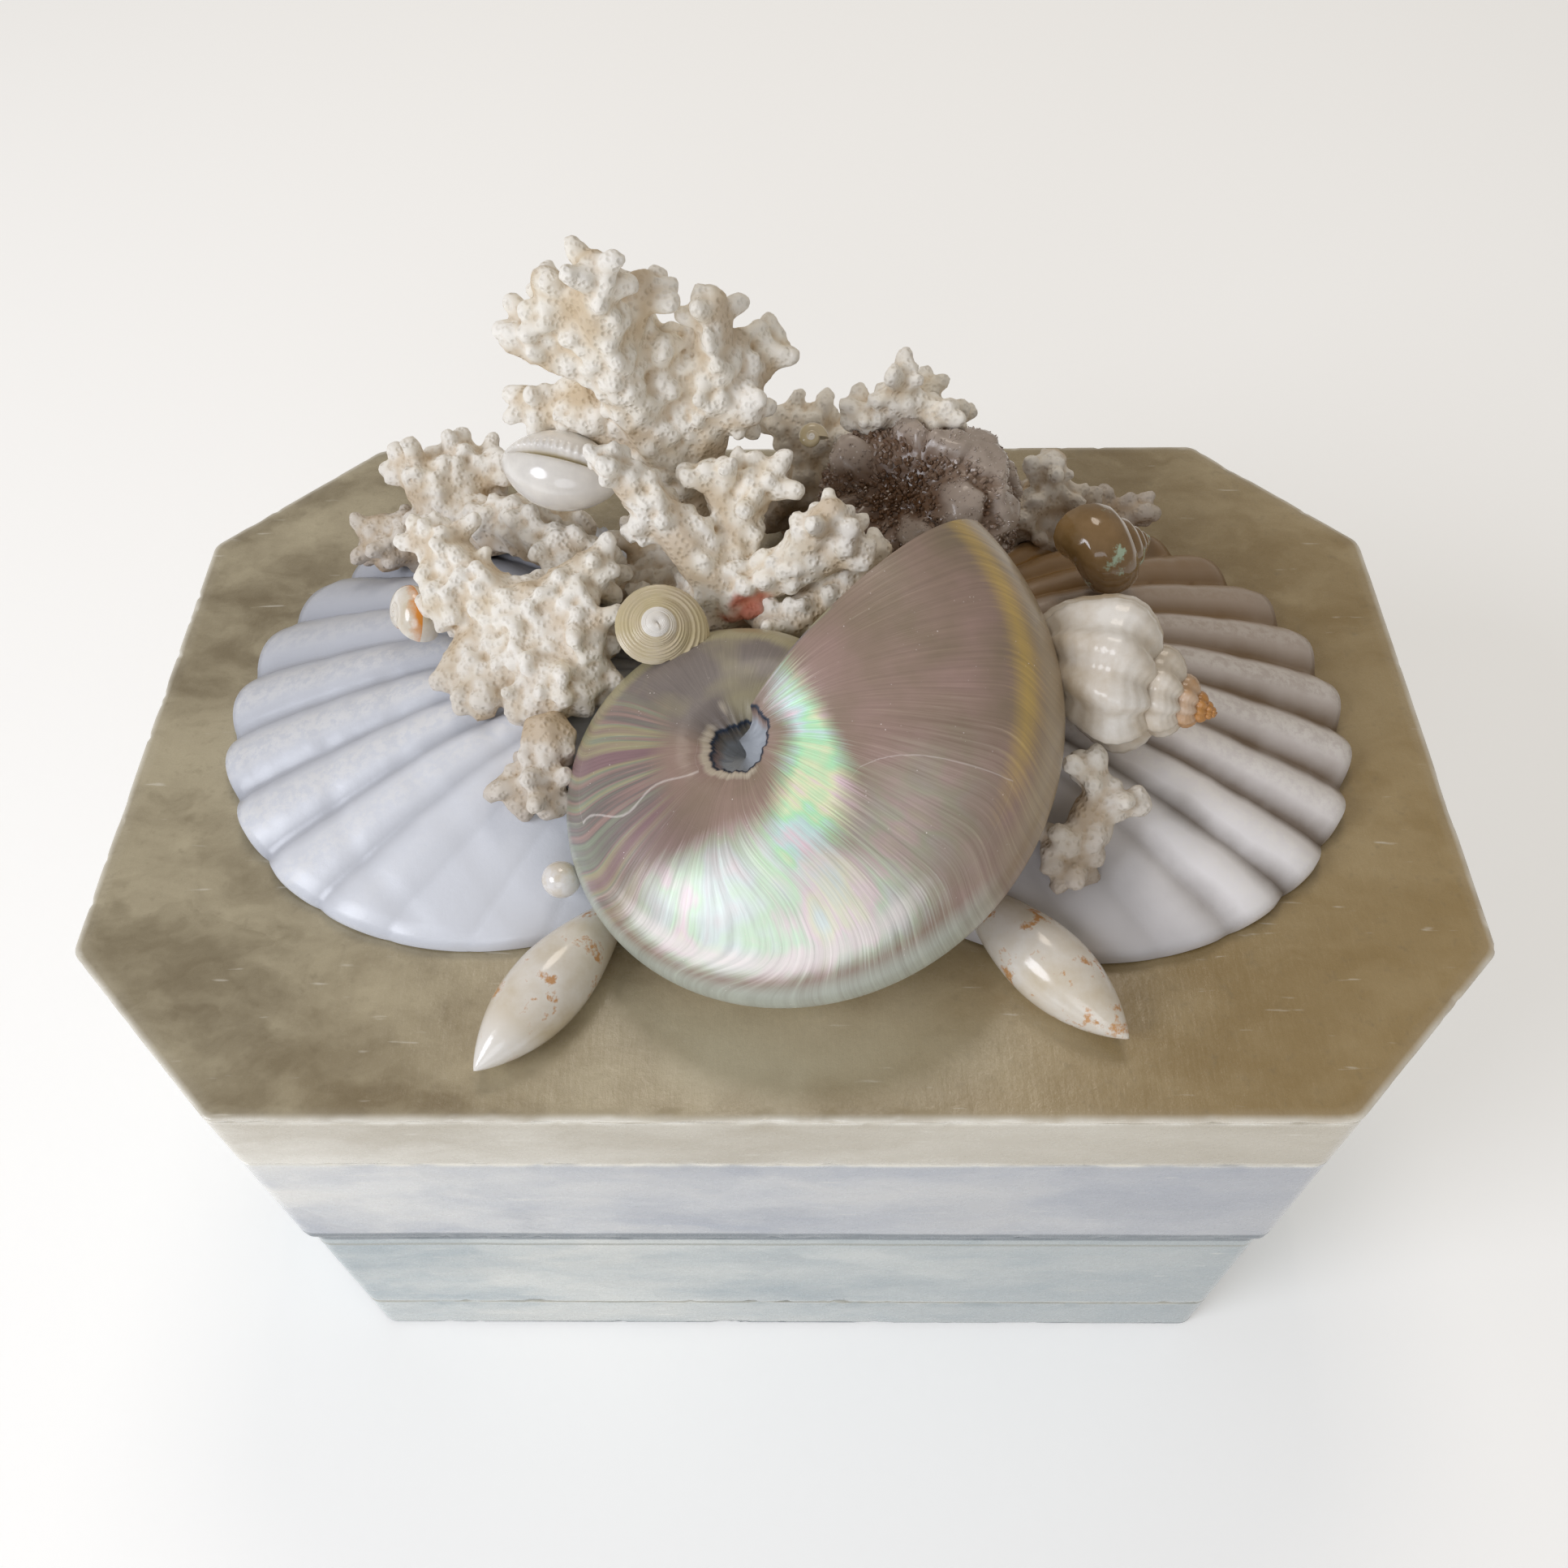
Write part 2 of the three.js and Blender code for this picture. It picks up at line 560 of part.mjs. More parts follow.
const CORALS = {
  coral_tall: {
    root: vec(-22, 40, 44), foot: vec(-20, 46, 2), waist: 8.5, tip: 4.6, knobs: 0, knob: 3.4, seed: 3,
    forks: [
      [vec(-36, 38, 75), vec(-36, 35, 101), vec(-47, 40, 94), vec(-56, 40, 81), vec(-28, 42, 92)],
      [vec(-15, 40, 64), vec(-14, 43, 87), vec(-1, 49, 71), vec(-7, 36, 64)],
      [vec(-44, 45, 59), vec(-58, 47, 58)],
    ],
  },
  coral_front: {
    root: vec(-11, 9, 34), foot: vec(-11, 12, 2), waist: 7, tip: 4.6, knobs: 1, knob: 3.2, seed: 11,
    forks: [
      [vec(-24, 17, 50), vec(-37, 22, 63), vec(-30, 19, 47)],
      [vec(-10, 20, 46), vec(-15, 25, 57), vec(-2, 25, 57)],
      [vec(2, 9, 44), vec(11, 10, 59), vec(15, 8, 51)],
    ],
  },
  coral_left_back: {
    root: vec(-76, 47, 21), waist: 9, tip: 5.2, knobs: 1, knob: 3.2, seed: 23,
    forks: [
      [vec(-87, 52, 28), vec(-92, 56, 32), vec(-79, 61, 32)],
      [vec(-92, 46, 18), vec(-103, 47, 19), vec(-99, 42, 15)],
      [vec(-66, 40, 28), vec(-58, 36, 33), vec(-50, 26, 32)],
    ],
  },
  coral_left_front: {
    root: vec(-60, 5, 32), waist: 8.5, tip: 5, knobs: 0, knob: 3, seed: 31,
    forks: [
      [vec(-70, 13, 37), vec(-80, 22, 42), vec(-77, 8, 34)],
      [vec(-50, 6, 37), vec(-40, 12, 43), vec(-41, -3, 36)],
      [vec(-58, -2, 30), vec(-62, -8, 28), vec(-51, -11, 31)],
    ],
  },
  coral_left_low: {
    root: vec(-50, -24, 25), waist: 7, tip: 5, knobs: 0, knob: 2.6, seed: 41,
    forks: [[vec(-52, -28, 21), vec(-56, -34, 19), vec(-49, -37, 20)]],
  },
  coral_notch: {
    root: vec(9, 7, 36), foot: vec(8, 12, 3), waist: 5.5, tip: 3.8, knobs: 1, knob: 2.6, seed: 47,
    forks: [[vec(3, 2, 34), vec(-4, 2, 34)], [vec(14, 6, 39), vec(22, 14, 44)]],
  },
  coral_back_ridge: {
    root: vec(8, 64, 22), foot: vec(7, 66, 4), waist: 7.5, tip: 4.6, knobs: 0, knob: 3, seed: 53,
    forks: [[vec(6, 66, 28), vec(-1, 68, 37), vec(9, 68, 38), vec(16, 66, 33)]],
  },
  coral_back_peak: {
    root: vec(28, 57, 36), foot: vec(27, 60, 3), waist: 7, tip: 4.2, knobs: 0, knob: 3, seed: 57,
    forks: [
      [vec(28, 56, 43), vec(19, 54, 49), vec(28, 56, 58), vec(38, 52, 51)],
      [vec(33, 61, 40), vec(42, 62, 42), vec(34, 66, 47)],
    ],
  },
  coral_back_right: {
    root: vec(65, 56, 13), foot: vec(62, 60, 4), waist: 7.5, tip: 4.6, knobs: 0, knob: 3, seed: 61,
    forks: [
      [vec(65, 56, 20), vec(67, 60, 29), vec(75, 58, 18), vec(58, 50, 21)],
      [vec(80, 60, 12), vec(92, 60, 12)],
    ],
  },
  coral_right_small: {
    root: vec(65, -42, 23), waist: 5, tip: 3.6, knobs: 0, knob: 2.6, seed: 71,
    forks: [
      [vec(66, -40, 26), vec(65, -35, 31), vec(72, -41, 24)],
      [vec(62, -46, 19), vec(61, -51, 14), vec(57, -47, 18)],
    ],
  },
};

// Each piece keeps its gap to those that were set before it
const shells = {
  whelk,
  cowrie,
  olive_left: (grow) => olive(OLIVE_LEFT.place, OLIVE_LEFT.along, grow),
  olive_right: (grow) => olive(OLIVE_RIGHT.place, OLIVE_RIGHT.along, grow),
  pearl,
  geode,
  scallop_left: (grow) => scallop(-1, SCALLOP_LEFT, LEFT_RIB, grow),
  scallop_right: (grow) => scallop(1, SCALLOP_RIGHT, RIGHT_RIB, grow),
};
for (const [name, plan] of Object.entries(SNAILS)) {
  shells[name] = (grow) => snail(plan, grow);
}
for (const [name, plan] of Object.entries(CORALS)) {
  shells[name] = (grow) => coral(plan, grow);
}

const lidSlab = solid(
  new THREE.BoxGeometry(2 * LENGTH, 2 * WIDTH, LID_TOP).translate(0, 0, TOUCH - LID_TOP / 2),
);

function arrange() {
  const pieces = { nautilus: nautilus() };
  const taken = [lidSlab, nautilusOuter(TOUCH)];
  for (const [name, make] of Object.entries(shells)) {
    pieces[name] = largest(taken.reduce((body, other) => body.subtract(other), make(0)));
    taken.push(make(TOUCH));
  }
  return pieces;
}

// Finishes: colour, roughness and metalness of each kind of piece

function finish(color, roughness, metalness = 0) {
  return new THREE.MeshStandardMaterial({ color, roughness, metalness });
}

const finishes = {
  core: () => finish('#6b5138', 0.7),
  veneer: () => finish('#b8ac95', 0.3),
  sideVeneer: () => finish('#ccd3cf', 0.35),
  nacre: () => finish('#b9a79b', 0.2, 0.1),
  shell: () => finish('#e9e6e2', 0.35),
  coral: () => finish('#e6dcc4', 0.85),
  stone: () => finish('#a79c97', 0.4),
};

const boxParts = {
  base_box: [baseBox(), finishes.core()],
  lid: [lidShell(), finishes.core()],
  base_foot_band: [band(BASE_STEP, FOOT_REVEAL, FOOT_BAND), finishes.sideVeneer()],
  base_upper_band: [band(BASE_STEP, FOOT_BAND + BAND_GAP, BASE_HEIGHT), finishes.sideVeneer()],
  lid_lower_band: [band(0, LID_BOTTOM, LID_TOP - LID_UPPER_BAND - BAND_GAP), finishes.sideVeneer()],
  lid_upper_band: [band(0, LID_TOP - LID_UPPER_BAND, LID_TOP - VENEER - GLUE), finishes.sideVeneer()],
  lid_top_veneer: [prism(0, LID_TOP - VENEER, LID_TOP), finishes.veneer()],
};

const finishFor = (name) => {
  if (name.startsWith('coral')) return finishes.coral();
  if (name === 'nautilus' || name === 'turban_shell' || name === 'pearl') return finishes.nacre();
  if (name === 'geode') return finishes.stone();
  return finishes.shell();
};

const group = new THREE.Group();
for (const [name, [geometry, material]] of Object.entries(boxParts)) {
  const mesh = new THREE.Mesh(geometry, material);
  mesh.name = name;
  group.add(mesh);
}

const arrangement = new THREE.Group();
arrangement.position.z = LID_TOP;
for (const [name, body] of Object.entries(arrange())) {
  const mesh = new THREE.Mesh(geometryOf(body), finishFor(name));
  mesh.name = name;
  arrangement.add(mesh);
}
group.add(arrangement);

export default group;
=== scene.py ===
"""Looks of an eight-sided keepsake box, veneered in shell, with an arrangement of seashells on its lid.

The file is laid out as a Blender add-on and run as a script. Meshes are worked out in millimetres and
made in metres, in the frame of the packed model.
"""

import math

import bmesh
import bpy
import numpy as np
from bpy.props import FloatProperty, FloatVectorProperty, PointerProperty
from mathutils import Matrix, Vector, kdtree


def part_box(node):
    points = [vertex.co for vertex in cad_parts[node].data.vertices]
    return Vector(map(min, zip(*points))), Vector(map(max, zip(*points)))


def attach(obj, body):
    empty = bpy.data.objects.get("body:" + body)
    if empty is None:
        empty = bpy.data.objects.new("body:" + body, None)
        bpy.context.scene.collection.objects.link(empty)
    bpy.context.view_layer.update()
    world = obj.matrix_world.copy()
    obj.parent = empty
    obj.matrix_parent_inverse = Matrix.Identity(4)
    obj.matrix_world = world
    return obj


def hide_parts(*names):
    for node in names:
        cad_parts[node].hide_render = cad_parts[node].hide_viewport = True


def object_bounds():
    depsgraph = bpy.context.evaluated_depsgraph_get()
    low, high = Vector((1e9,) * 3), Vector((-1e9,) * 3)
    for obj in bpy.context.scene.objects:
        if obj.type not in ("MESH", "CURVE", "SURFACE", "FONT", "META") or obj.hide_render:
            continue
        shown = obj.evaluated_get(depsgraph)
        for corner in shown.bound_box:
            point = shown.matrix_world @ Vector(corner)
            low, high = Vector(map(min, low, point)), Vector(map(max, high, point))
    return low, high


bl_info = {
    "name": "Shell Box",
    "version": (1, 0, 0),
    "blender": (4, 5, 0),
    "location": "3D View > Sidebar > Shell Box",
    "description": "Builds a veneered keepsake box with seashells, corals and a geode on its lid",
    "category": "Object",
}

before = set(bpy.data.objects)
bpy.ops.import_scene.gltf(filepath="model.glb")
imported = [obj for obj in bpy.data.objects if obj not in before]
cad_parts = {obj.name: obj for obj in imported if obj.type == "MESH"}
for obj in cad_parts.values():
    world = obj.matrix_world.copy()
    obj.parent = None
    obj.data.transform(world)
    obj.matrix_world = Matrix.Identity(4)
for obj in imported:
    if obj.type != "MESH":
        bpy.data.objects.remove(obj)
CAD_BOX = [list(corner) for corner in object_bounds()]

MM = 0.001
TURN = 2 * math.pi
LID_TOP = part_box("lid_top_veneer")[1].z / MM
HALF_LENGTH = CAD_BOX[1][0] / MM
HALF_WIDTH = CAD_BOX[1][1] / MM


# Colours and settings

def linear(code):
    """The linear colour of an sRGB hex code, with full alpha."""
    channels = [int(code[i:i + 2], 16) / 255 for i in (1, 3, 5)]
    return tuple(c / 12.92 if c <= 0.04045 else ((c + 0.055) / 1.055) ** 2.4 for c in channels) + (1.0,)


def colour(name, description, code):
    return FloatVectorProperty(name=name, description=description, default=linear(code), subtype="COLOR",
                               size=4, min=0.0, max=1.0)


def length(name, description, millimetres):
    return FloatProperty(name=name, description=description, default=millimetres * MM, min=0.0,
                         unit="LENGTH", precision=5)


def share(name, description, value):
    return FloatProperty(name=name, description=description, default=value, min=0.0, max=1.0,
                         subtype="FACTOR")


def angle(name, description, degrees):
    return FloatProperty(name=name, description=description, default=math.radians(degrees), subtype="ANGLE")


class VeneerSettings(bpy.types.PropertyGroup):
    """Sheets of windowpane oyster under clear resin"""
    corner: length("Corner", "What the 45 degree corners cut off each side", 38)
    corner_radius: length("Corner radius", "Rounding of the eight upright edges", 5)
    thickness: length("Thickness", "Thickness of the sheets", 1.2)
    waviness: length("Waviness", "How uneven the hand-laid surface is", 0.16)
    chip: length("Chips", "Depth of the largest chips along the edges", 0.45)
    patch: length("Patch", "Width of one piece of shell in the sheet", 46)
    top: colour("Top", "Olive tan of the lid's top", "#a2967d")
    top_dark: colour("Top shade", "Brown-grey clouds in the top", "#76694f")
    top_light: colour("Top light", "Cream clouds in the top", "#cdc3a6")
    # The top gold is partly painted shade: it browns the top towards its right side, which lies in shade,
    # besides the sheets' own golden tone.
    top_gold_shade: colour("Top gold", "Golden brown of the top towards the right", "#a3864f")
    upper: colour("Upper band", "Cream white of the lid's upper band", "#d6d1c4")
    upper_dark: colour("Upper shade", "Tan clouds in the upper band", "#b3a993")
    middle: colour("Middle bands", "Lilac grey of the lid's lower band", "#c6d0de")
    middle_dark: colour("Middle shade", "Grey-blue clouds in the lower band", "#989ca6")
    lower: colour("Base bands", "Pale blue green of the base", "#bdd0d6")
    lower_dark: colour("Base shade", "Blue-grey clouds in the base", "#8a979c")
    edge: colour("Edge", "Bright raw edge of the shell sheets", "#f2eee2")
    # The joint colour is painted shadow: the dark of the gap under the lid, laid on the lid's lower band and
    # the base's top edge. The same colour also runs along the base's bottom edge.
    joint: colour("Joint", "Slate line where the lid meets the base", "#4f5d68")
    soil: colour("Soil", "Grey-olive line under the joint", "#8b8d80")


class BoardSettings(bpy.types.PropertyGroup):
    """The board under the veneer"""
    light: colour("Board", "Light grain of the board", "#7a6148")
    dark: colour("Grain", "Dark grain of the board", "#4d3a2a")
    grain: length("Grain width", "Distance between the grain lines", 2.4)


class NautilusSettings(bpy.types.PropertyGroup):
    """The chambered nautilus, its outer layer polished away"""
    start_radius: length("Start radius", "Radius of the coil at turn zero", 25.3)
    growth: FloatProperty(name="Growth", description="Growth of the radius for each radian", default=0.147)
    breadth: share("Breadth", "Half breadth of the whorl as a share of its radius", 0.39)
    umbilicus: length("Umbilicus", "Radius of the hole at the coil's centre", 6.5)
    wall: length("Wall", "Thickness of the shell's wall", 1.3)
    mauve: colour("Mauve", "Taupe nacre of the body chamber", "#978671")
    rose: colour("Rose", "Pinker nacre between the growth lines", "#a78c85")
    plum: colour("Plum", "Dark nacre low on the left", "#93777b")
    moss: colour("Moss", "Green-grey pleats at the left", "#929a87")
    # pearl is also the painted highlight along the lower shoulder.
    pearl: colour("Pearl", "Bright nacre of the shoulder", "#fbf3f0")
    # green, cyan, lemon and pink paint the nacre's iridescent sheen.
    green: colour("Green", "Green of the nacre's brightest patch", "#9cf8b0")
    cyan: colour("Cyan", "Cyan of the nacre's brightest patch", "#bdeeea")
    lemon: colour("Lemon", "Yellow green of the nacre", "#e6f2b4")
    pink: colour("Pink", "Pink of the nacre", "#f3cfe0")
    gold: colour("Gold", "Gold band along the outer edge", "#c9ac68")
    horn: colour("Horn", "Brown-grey of the right edge", "#a9977a")
    olive: colour("Olive", "Yellow green of the older whorl's rim", "#aea685")
    slate: colour("Slate", "Grey of the older whorl", "#837a76")
    glass: colour("Rim", "Pale green grey of the outer rim", "#b4b9ad")
    chalk: colour("Chalk", "Chalky ring round the umbilicus", "#cfc4b2")
    inside: colour("Inside", "Pale blue wall inside the umbilicus", "#b9bfc6")
    navy: colour("Broken edge", "Dark broken edge of the umbilicus", "#2a3648")


class ScallopSettings(bpy.types.PropertyGroup):
    """The two scallop valves"""
    radius: length("Radius", "Radius of a valve's outline", 65)
    umbo_distance: length("Umbo distance", "From the outline's centre to the umbo", 49)
    lean: angle("Lean", "How far the umbo lies towards the back", 6.5)
    dome: length("Dome", "Height of the dome", 20)
    edge: length("Edge", "Thickness of the margin", 1.9)
    white: colour("White", "Bluish white of the left valve", "#e3e7f0")
    # shade, valley and tan are painted shade: the left valve's shade and the right valve's valley darken the
    # furrows, and the shade and the tan darken the backs; tan is also the right valve's own brown.
    shade: colour("Shade", "Blue-grey between the left valve's ribs", "#aeb1ba")
    cream: colour("Cream", "Pearly white of the right valve's ribs", "#fcfafc")
    valley: colour("Valley", "Brown-grey between the right valve's ribs", "#75695f")
    tan: colour("Tan", "Golden brown of the right valve's back", "#8a6630")
    silver: colour("Silver", "Smooth grey pearl of the right valve's front", "#c2c0c2")
    chalk: colour("Chalk", "Chalky dust along the ribs", "#fffdf8")


class SmallShellSettings(bpy.types.PropertyGroup):
    """The olives, the whelk, the cowrie, the snail shells and the pearl"""
    olive_radius: length("Olive radius", "Radius of the olive shells", 8.6)
    olive_length: length("Olive length", "Length of the olive shells", 52)
    cowrie_radius: length("Cowrie radius", "Radius of the cowrie", 9.5)
    cowrie_length: length("Cowrie length", "Length of the cowrie", 29)
    pearl_radius: length("Pearl radius", "Radius of the pearl", 4)
    porcelain: colour("Porcelain", "Glossy white of the olives and the cowrie", "#f1ede6")
    grey: colour("Grey", "Grey clouds of the cowrie", "#d8d4cf")
    beige: colour("Beige", "Beige shade of the left olive", "#d5c7ad")
    amber: colour("Amber", "Orange-brown blotches of the olives", "#c98a3c")
    lime: colour("Lime", "Warm white of the whelk", "#c3b298")
    speck: colour("Speck", "Dark specks of the whelk", "#3c2f28")
    spire: colour("Spire", "Orange-brown of the whelk's spire", "#bf8748")
    straw: colour("Straw", "Straw colour of the top shell", "#cdbf98")
    smoke: colour("Smoke", "Brown nacre of the turban shell", "#7a5e36")
    umber: colour("Umber", "Paler brown of the turban shell", "#937650")
    # The gleam is a painted highlight.
    gleam: colour("Gleam", "Green-white gleam of the turban shell", "#b9d3bb")
    orange: colour("Orange", "Orange spot of the moon shell", "#e08f35")
    lustre: colour("Lustre", "White of the pearl", "#efedec")


class CoralSettings(bpy.types.PropertyGroup):
    """Bleached branching corals"""
    voxel: length("Grid", "Grid of the corals' surface", 0.72)
    knob: length("Knob", "Radius of the small knobs", 1.8)
    pit: length("Pit", "Distance between the pits", 1.35)
    white: colour("White", "Bleached white of the tips", "#faf6ee")
    cream: colour("Cream", "Cream of the branches", "#f1e8d4")
    # tan is painted shade in the pits, creases and bodies away from the knobs; brown is painted shade low
    # down among the branches.
    tan: colour("Tan", "Tan of the bodies between the branches", "#c8ae88")
    brown: colour("Brown", "Brown in the depths", "#795732")
    rust: colour("Rust", "Red-orange stain", "#c0562c")


class GeodeSettings(bpy.types.PropertyGroup):
    """The druzy geode"""
    length: length("Length", "Length of the lump", 50)
    depth: length("Depth", "Depth of the lump", 34)
    height: length("Height", "Height of the lump", 38)
    crystal: length("Crystal", "Length of the small crystals", 1.1)
    mauve: colour("Mauve", "Grey mauve of the quartz", "#8c7767")
    clear: colour("Clear", "Pale quartz of the lobes", "#b5a89d")
    # hollow is partly painted shade: the dark inside the hollow, over the geode's own brown.
    hollow: colour("Hollow", "Dark brown of the hollow", "#523720")
    rind: colour("Rind", "Brown rind", "#6b4e38")
    # glint is a painted glint on the crystals' brightest faces.
    glint: colour("Glint", "White of the crystals' brightest faces", "#f4f0ee")


class StageSettings(bpy.types.PropertyGroup):
    """Floor, lights and camera"""
    focal: FloatProperty(name="Focal length", description="For a sensor 36 mm wide", default=31.72)
    yaw: angle("Yaw", "Turn of the camera to the left", 1.203)
    pitch: angle("Pitch", "How far the camera looks down", 53.92)
    roll: angle("Roll", "Roll of the camera", 1.089)
    floor: colour("Floor", "Pale floor", "#f5f5f4")
    sky: colour("Sky", "Warm white all round", "#fbf4ea")


SETTINGS = {
    "shellbox_veneer": VeneerSettings,
    "shellbox_board": BoardSettings,
    "shellbox_nautilus": NautilusSettings,
    "shellbox_scallop": ScallopSettings,
    "shellbox_small": SmallShellSettings,
    "shellbox_coral": CoralSettings,
    "shellbox_geode": GeodeSettings,
    "shellbox_stage": StageSettings,
}


# Numbers that stay the same each run

def lattice(x, y, z, seed):
    """A value from -1 to 1 for each whole-number point."""
    n = (x * 374761393 + y * 668265263 + z * 1440662683 + seed * 1274126177) & 0xFFFFFFFF
    n = ((n ^ (n >> 13)) * 1274126177) & 0xFFFFFFFF
    n = n ^ (n >> 16)
    return (n & 0xFFFFFF) / 0x7FFFFF - 1.0


def noise(points, scale, octaves=3, seed=0):
    """Smooth noise from about -1 to 1; scale is the size of its largest lumps."""
    total = np.zeros(len(points))
    weight = 1.0
    spent = 0.0
    for octave in range(octaves):
        p = points / scale * 2 ** octave
        cell = np.floor(p).astype(np.int64)
        f = p - cell
        f = f * f * (3 - 2 * f)
        value = np.zeros(len(points))
        for corner in range(8):
            step = np.array([corner & 1, corner >> 1 & 1, corner >> 2])
            near = np.prod(np.where(step, f, 1 - f), axis=1)
            at = cell + step
            value += near * lattice(at[:, 0], at[:, 1], at[:, 2], seed + octave)
        total += value * weight
        spent += weight
        weight *= 0.5
    return total / spent * 1.6


def smooth(low, high, value):
    """0 below low and 1 above high, with a soft step between."""
    t = np.clip((value - low) / (high - low), 0, 1)
    return t * t * (3 - 2 * t)


def bell(value, middle, width):
    """1 at the middle, and close to 0 from two widths away."""
    return np.exp(-((value - middle) / width) ** 2)


# Meshes

def grid_faces(rows, columns, wrap=True):
    """Quads of a grid of points; wrap joins its last column to its first."""
    i = np.arange(rows - 1)[:, None]
    j = np.arange(columns if wrap else columns - 1)[None, :]
    after = (j + 1) % columns
    corners = (i * columns + j, i * columns + after, (i + 1) * columns + after, (i + 1) * columns + j)
    return np.stack(np.broadcast_arrays(*corners), -1).reshape(-1, 4)


def tidy(mesh, sharp=40):
    """Joins doubled points, turns the faces out and smooths all but the sharp edges."""
    work = bmesh.new()
    work.from_mesh(mesh)
    bmesh.ops.remove_doubles(work, verts=work.verts, dist=0.004 * MM)
    bmesh.ops.dissolve_degenerate(work, edges=work.edges, dist=0.002 * MM)
    bmesh.ops.recalc_face_normals(work, faces=work.faces)
    work.to_mesh(mesh)
    work.free()
    mesh.polygons.foreach_set("use_smooth", [True] * len(mesh.polygons))
    mesh.set_sharp_from_angle(angle=math.radians(sharp))


def give(mesh, **values):
    """Writes numbers at the mesh's points, for its material to read."""
    for name, value in values.items():
        vector = np.ndim(value) == 2
        attribute = mesh.attributes.new(name, "FLOAT_VECTOR" if vector else "FLOAT", "POINT")
        attribute.data.foreach_set("vector" if vector else "value", np.asarray(value, np.float32).ravel())


def points_of(mesh):
    """The mesh's points, in millimetres."""
    flat = np.empty(len(mesh.vertices) * 3)
    mesh.vertices.foreach_get("co", flat)
    return flat.reshape(-1, 3) / MM


def new_object(name, points, faces, sharp=40, **values):
    mesh = bpy.data.meshes.new(name)
    mesh.from_pydata((points * MM).tolist(), [], [list(face) for face in faces])
    give(mesh, **values)
    tidy(mesh, sharp)
    piece = bpy.data.objects.new(name, mesh)
    bpy.context.scene.collection.objects.link(piece)
    return piece


def apply_modifiers(piece):
    """Turns the piece's modifiers into its mesh."""
    depsgraph = bpy.context.evaluated_depsgraph_get()
    done = bpy.data.meshes.new_from_object(piece.evaluated_get(depsgraph))
    done.name = piece.name
    piece.modifiers.clear()
    piece.data = done


def settle(piece, material, slot, *nodes):
    """The piece gets its material, rides on the box and stands for its nodes."""
    piece.data.materials.clear()
    piece.data.materials.append(material)
    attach(piece, "root")
    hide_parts(*nodes)
    return piece


def axes_at(place, along, side=(0, 0, 1)):
    """Place and axes of a shell: z along it and x towards the side."""
    z = np.array(along, float) / np.linalg.norm(along)
    y = np.cross(z, side)
    y /= np.linalg.norm(y)
    return np.array(place, float) + (0, 0, LID_TOP), np.stack([np.cross(y, z), y, z])


def fan(count, start=0, back=False):
    """One face over a ring of points."""
    face = list(range(start, start + count))
    return face[::-1] if back else face


def put(points, axes):
    """Points of a shell's own frame, in the box's frame."""
    place, rows = axes
    return points @ rows + place


# Materials

def wire(tree, node, inputs):
    """Sets a node's sockets by name or number: a socket is linked, anything else is its value."""
    for name, value in inputs.items():
        if isinstance(value, bpy.types.NodeSocket):
            tree.links.new(value, node.inputs[name])
        else:
            node.inputs[name].default_value = value


def add(tree, kind, inputs=None, out=0, stops=None, **settings):
    """Adds a node with its settings and links, and gives back the output asked for."""
    node = tree.nodes.new("ShaderNode" + kind)
    for name, value in settings.items():
        setattr(node, name, value)
    for place, (position, value) in enumerate(stops or ()):
        elements = node.color_ramp.elements
        element = elements[place] if place < 2 else elements.new(position)
        element.position = position
        element.color = value
    wire(tree, node, inputs or {})
    return node.outputs[out]


def surface(name, **values):
    """A new material: its tree, its shader, and the place on the object in metres."""
    material = bpy.data.materials.new(name)
    material.use_nodes = True
    tree = material.node_tree
    shader = tree.nodes["Principled BSDF"]
    wire(tree, shader, {key.replace("_", " "): value for key, value in values.items()})
    return material, tree, shader, add(tree, "TexCoord", out="Object")


def per(millimetres):
    """The scale of a texture whose features are this far apart."""
    return 1 / (millimetres * MM)


def lay(tree, tone, paint, mask, low=0.0, high=1.0, cover=1.0):
    """Lays a paint over the tone: none where the mask is low, and up to cover where it is high.

    The mask is a socket, a number, or the name of numbers that the mesh carries.
    """
    if isinstance(mask, str):
        mask = add(tree, "Attribute", out="Fac", attribute_name=mask)
    amount = add(tree, "MapRange", {"Value": mask, "From Min": low, "From Max": high, "To Max": cover})
    return add(tree, "Mix", {0: amount, 6: tone, 7: paint}, out=2, data_type="RGBA")


def board_material():
    """Pine board, sawn and sealed: brown straight grain with a dull sheen."""
    own = bpy.context.scene.shellbox_board
    material, tree, shader, place = surface("pine_board", Roughness=0.62)
    stretched = add(tree, "Mapping", {"Vector": place, "Scale": (0.06, 1.0, 1.0)}, vector_type="POINT")
    grain = add(tree, "TexNoise", {"Vector": stretched, "Scale": per(own.grain / MM), "Detail": 5.0})
    bump = add(tree, "Bump", {"Height": grain, "Distance": 0.1 * MM, "Strength": 0.4})
    wire(tree, shader, {"Base Color": lay(tree, own.light, own.dark, grain), "Normal": bump})
    return material


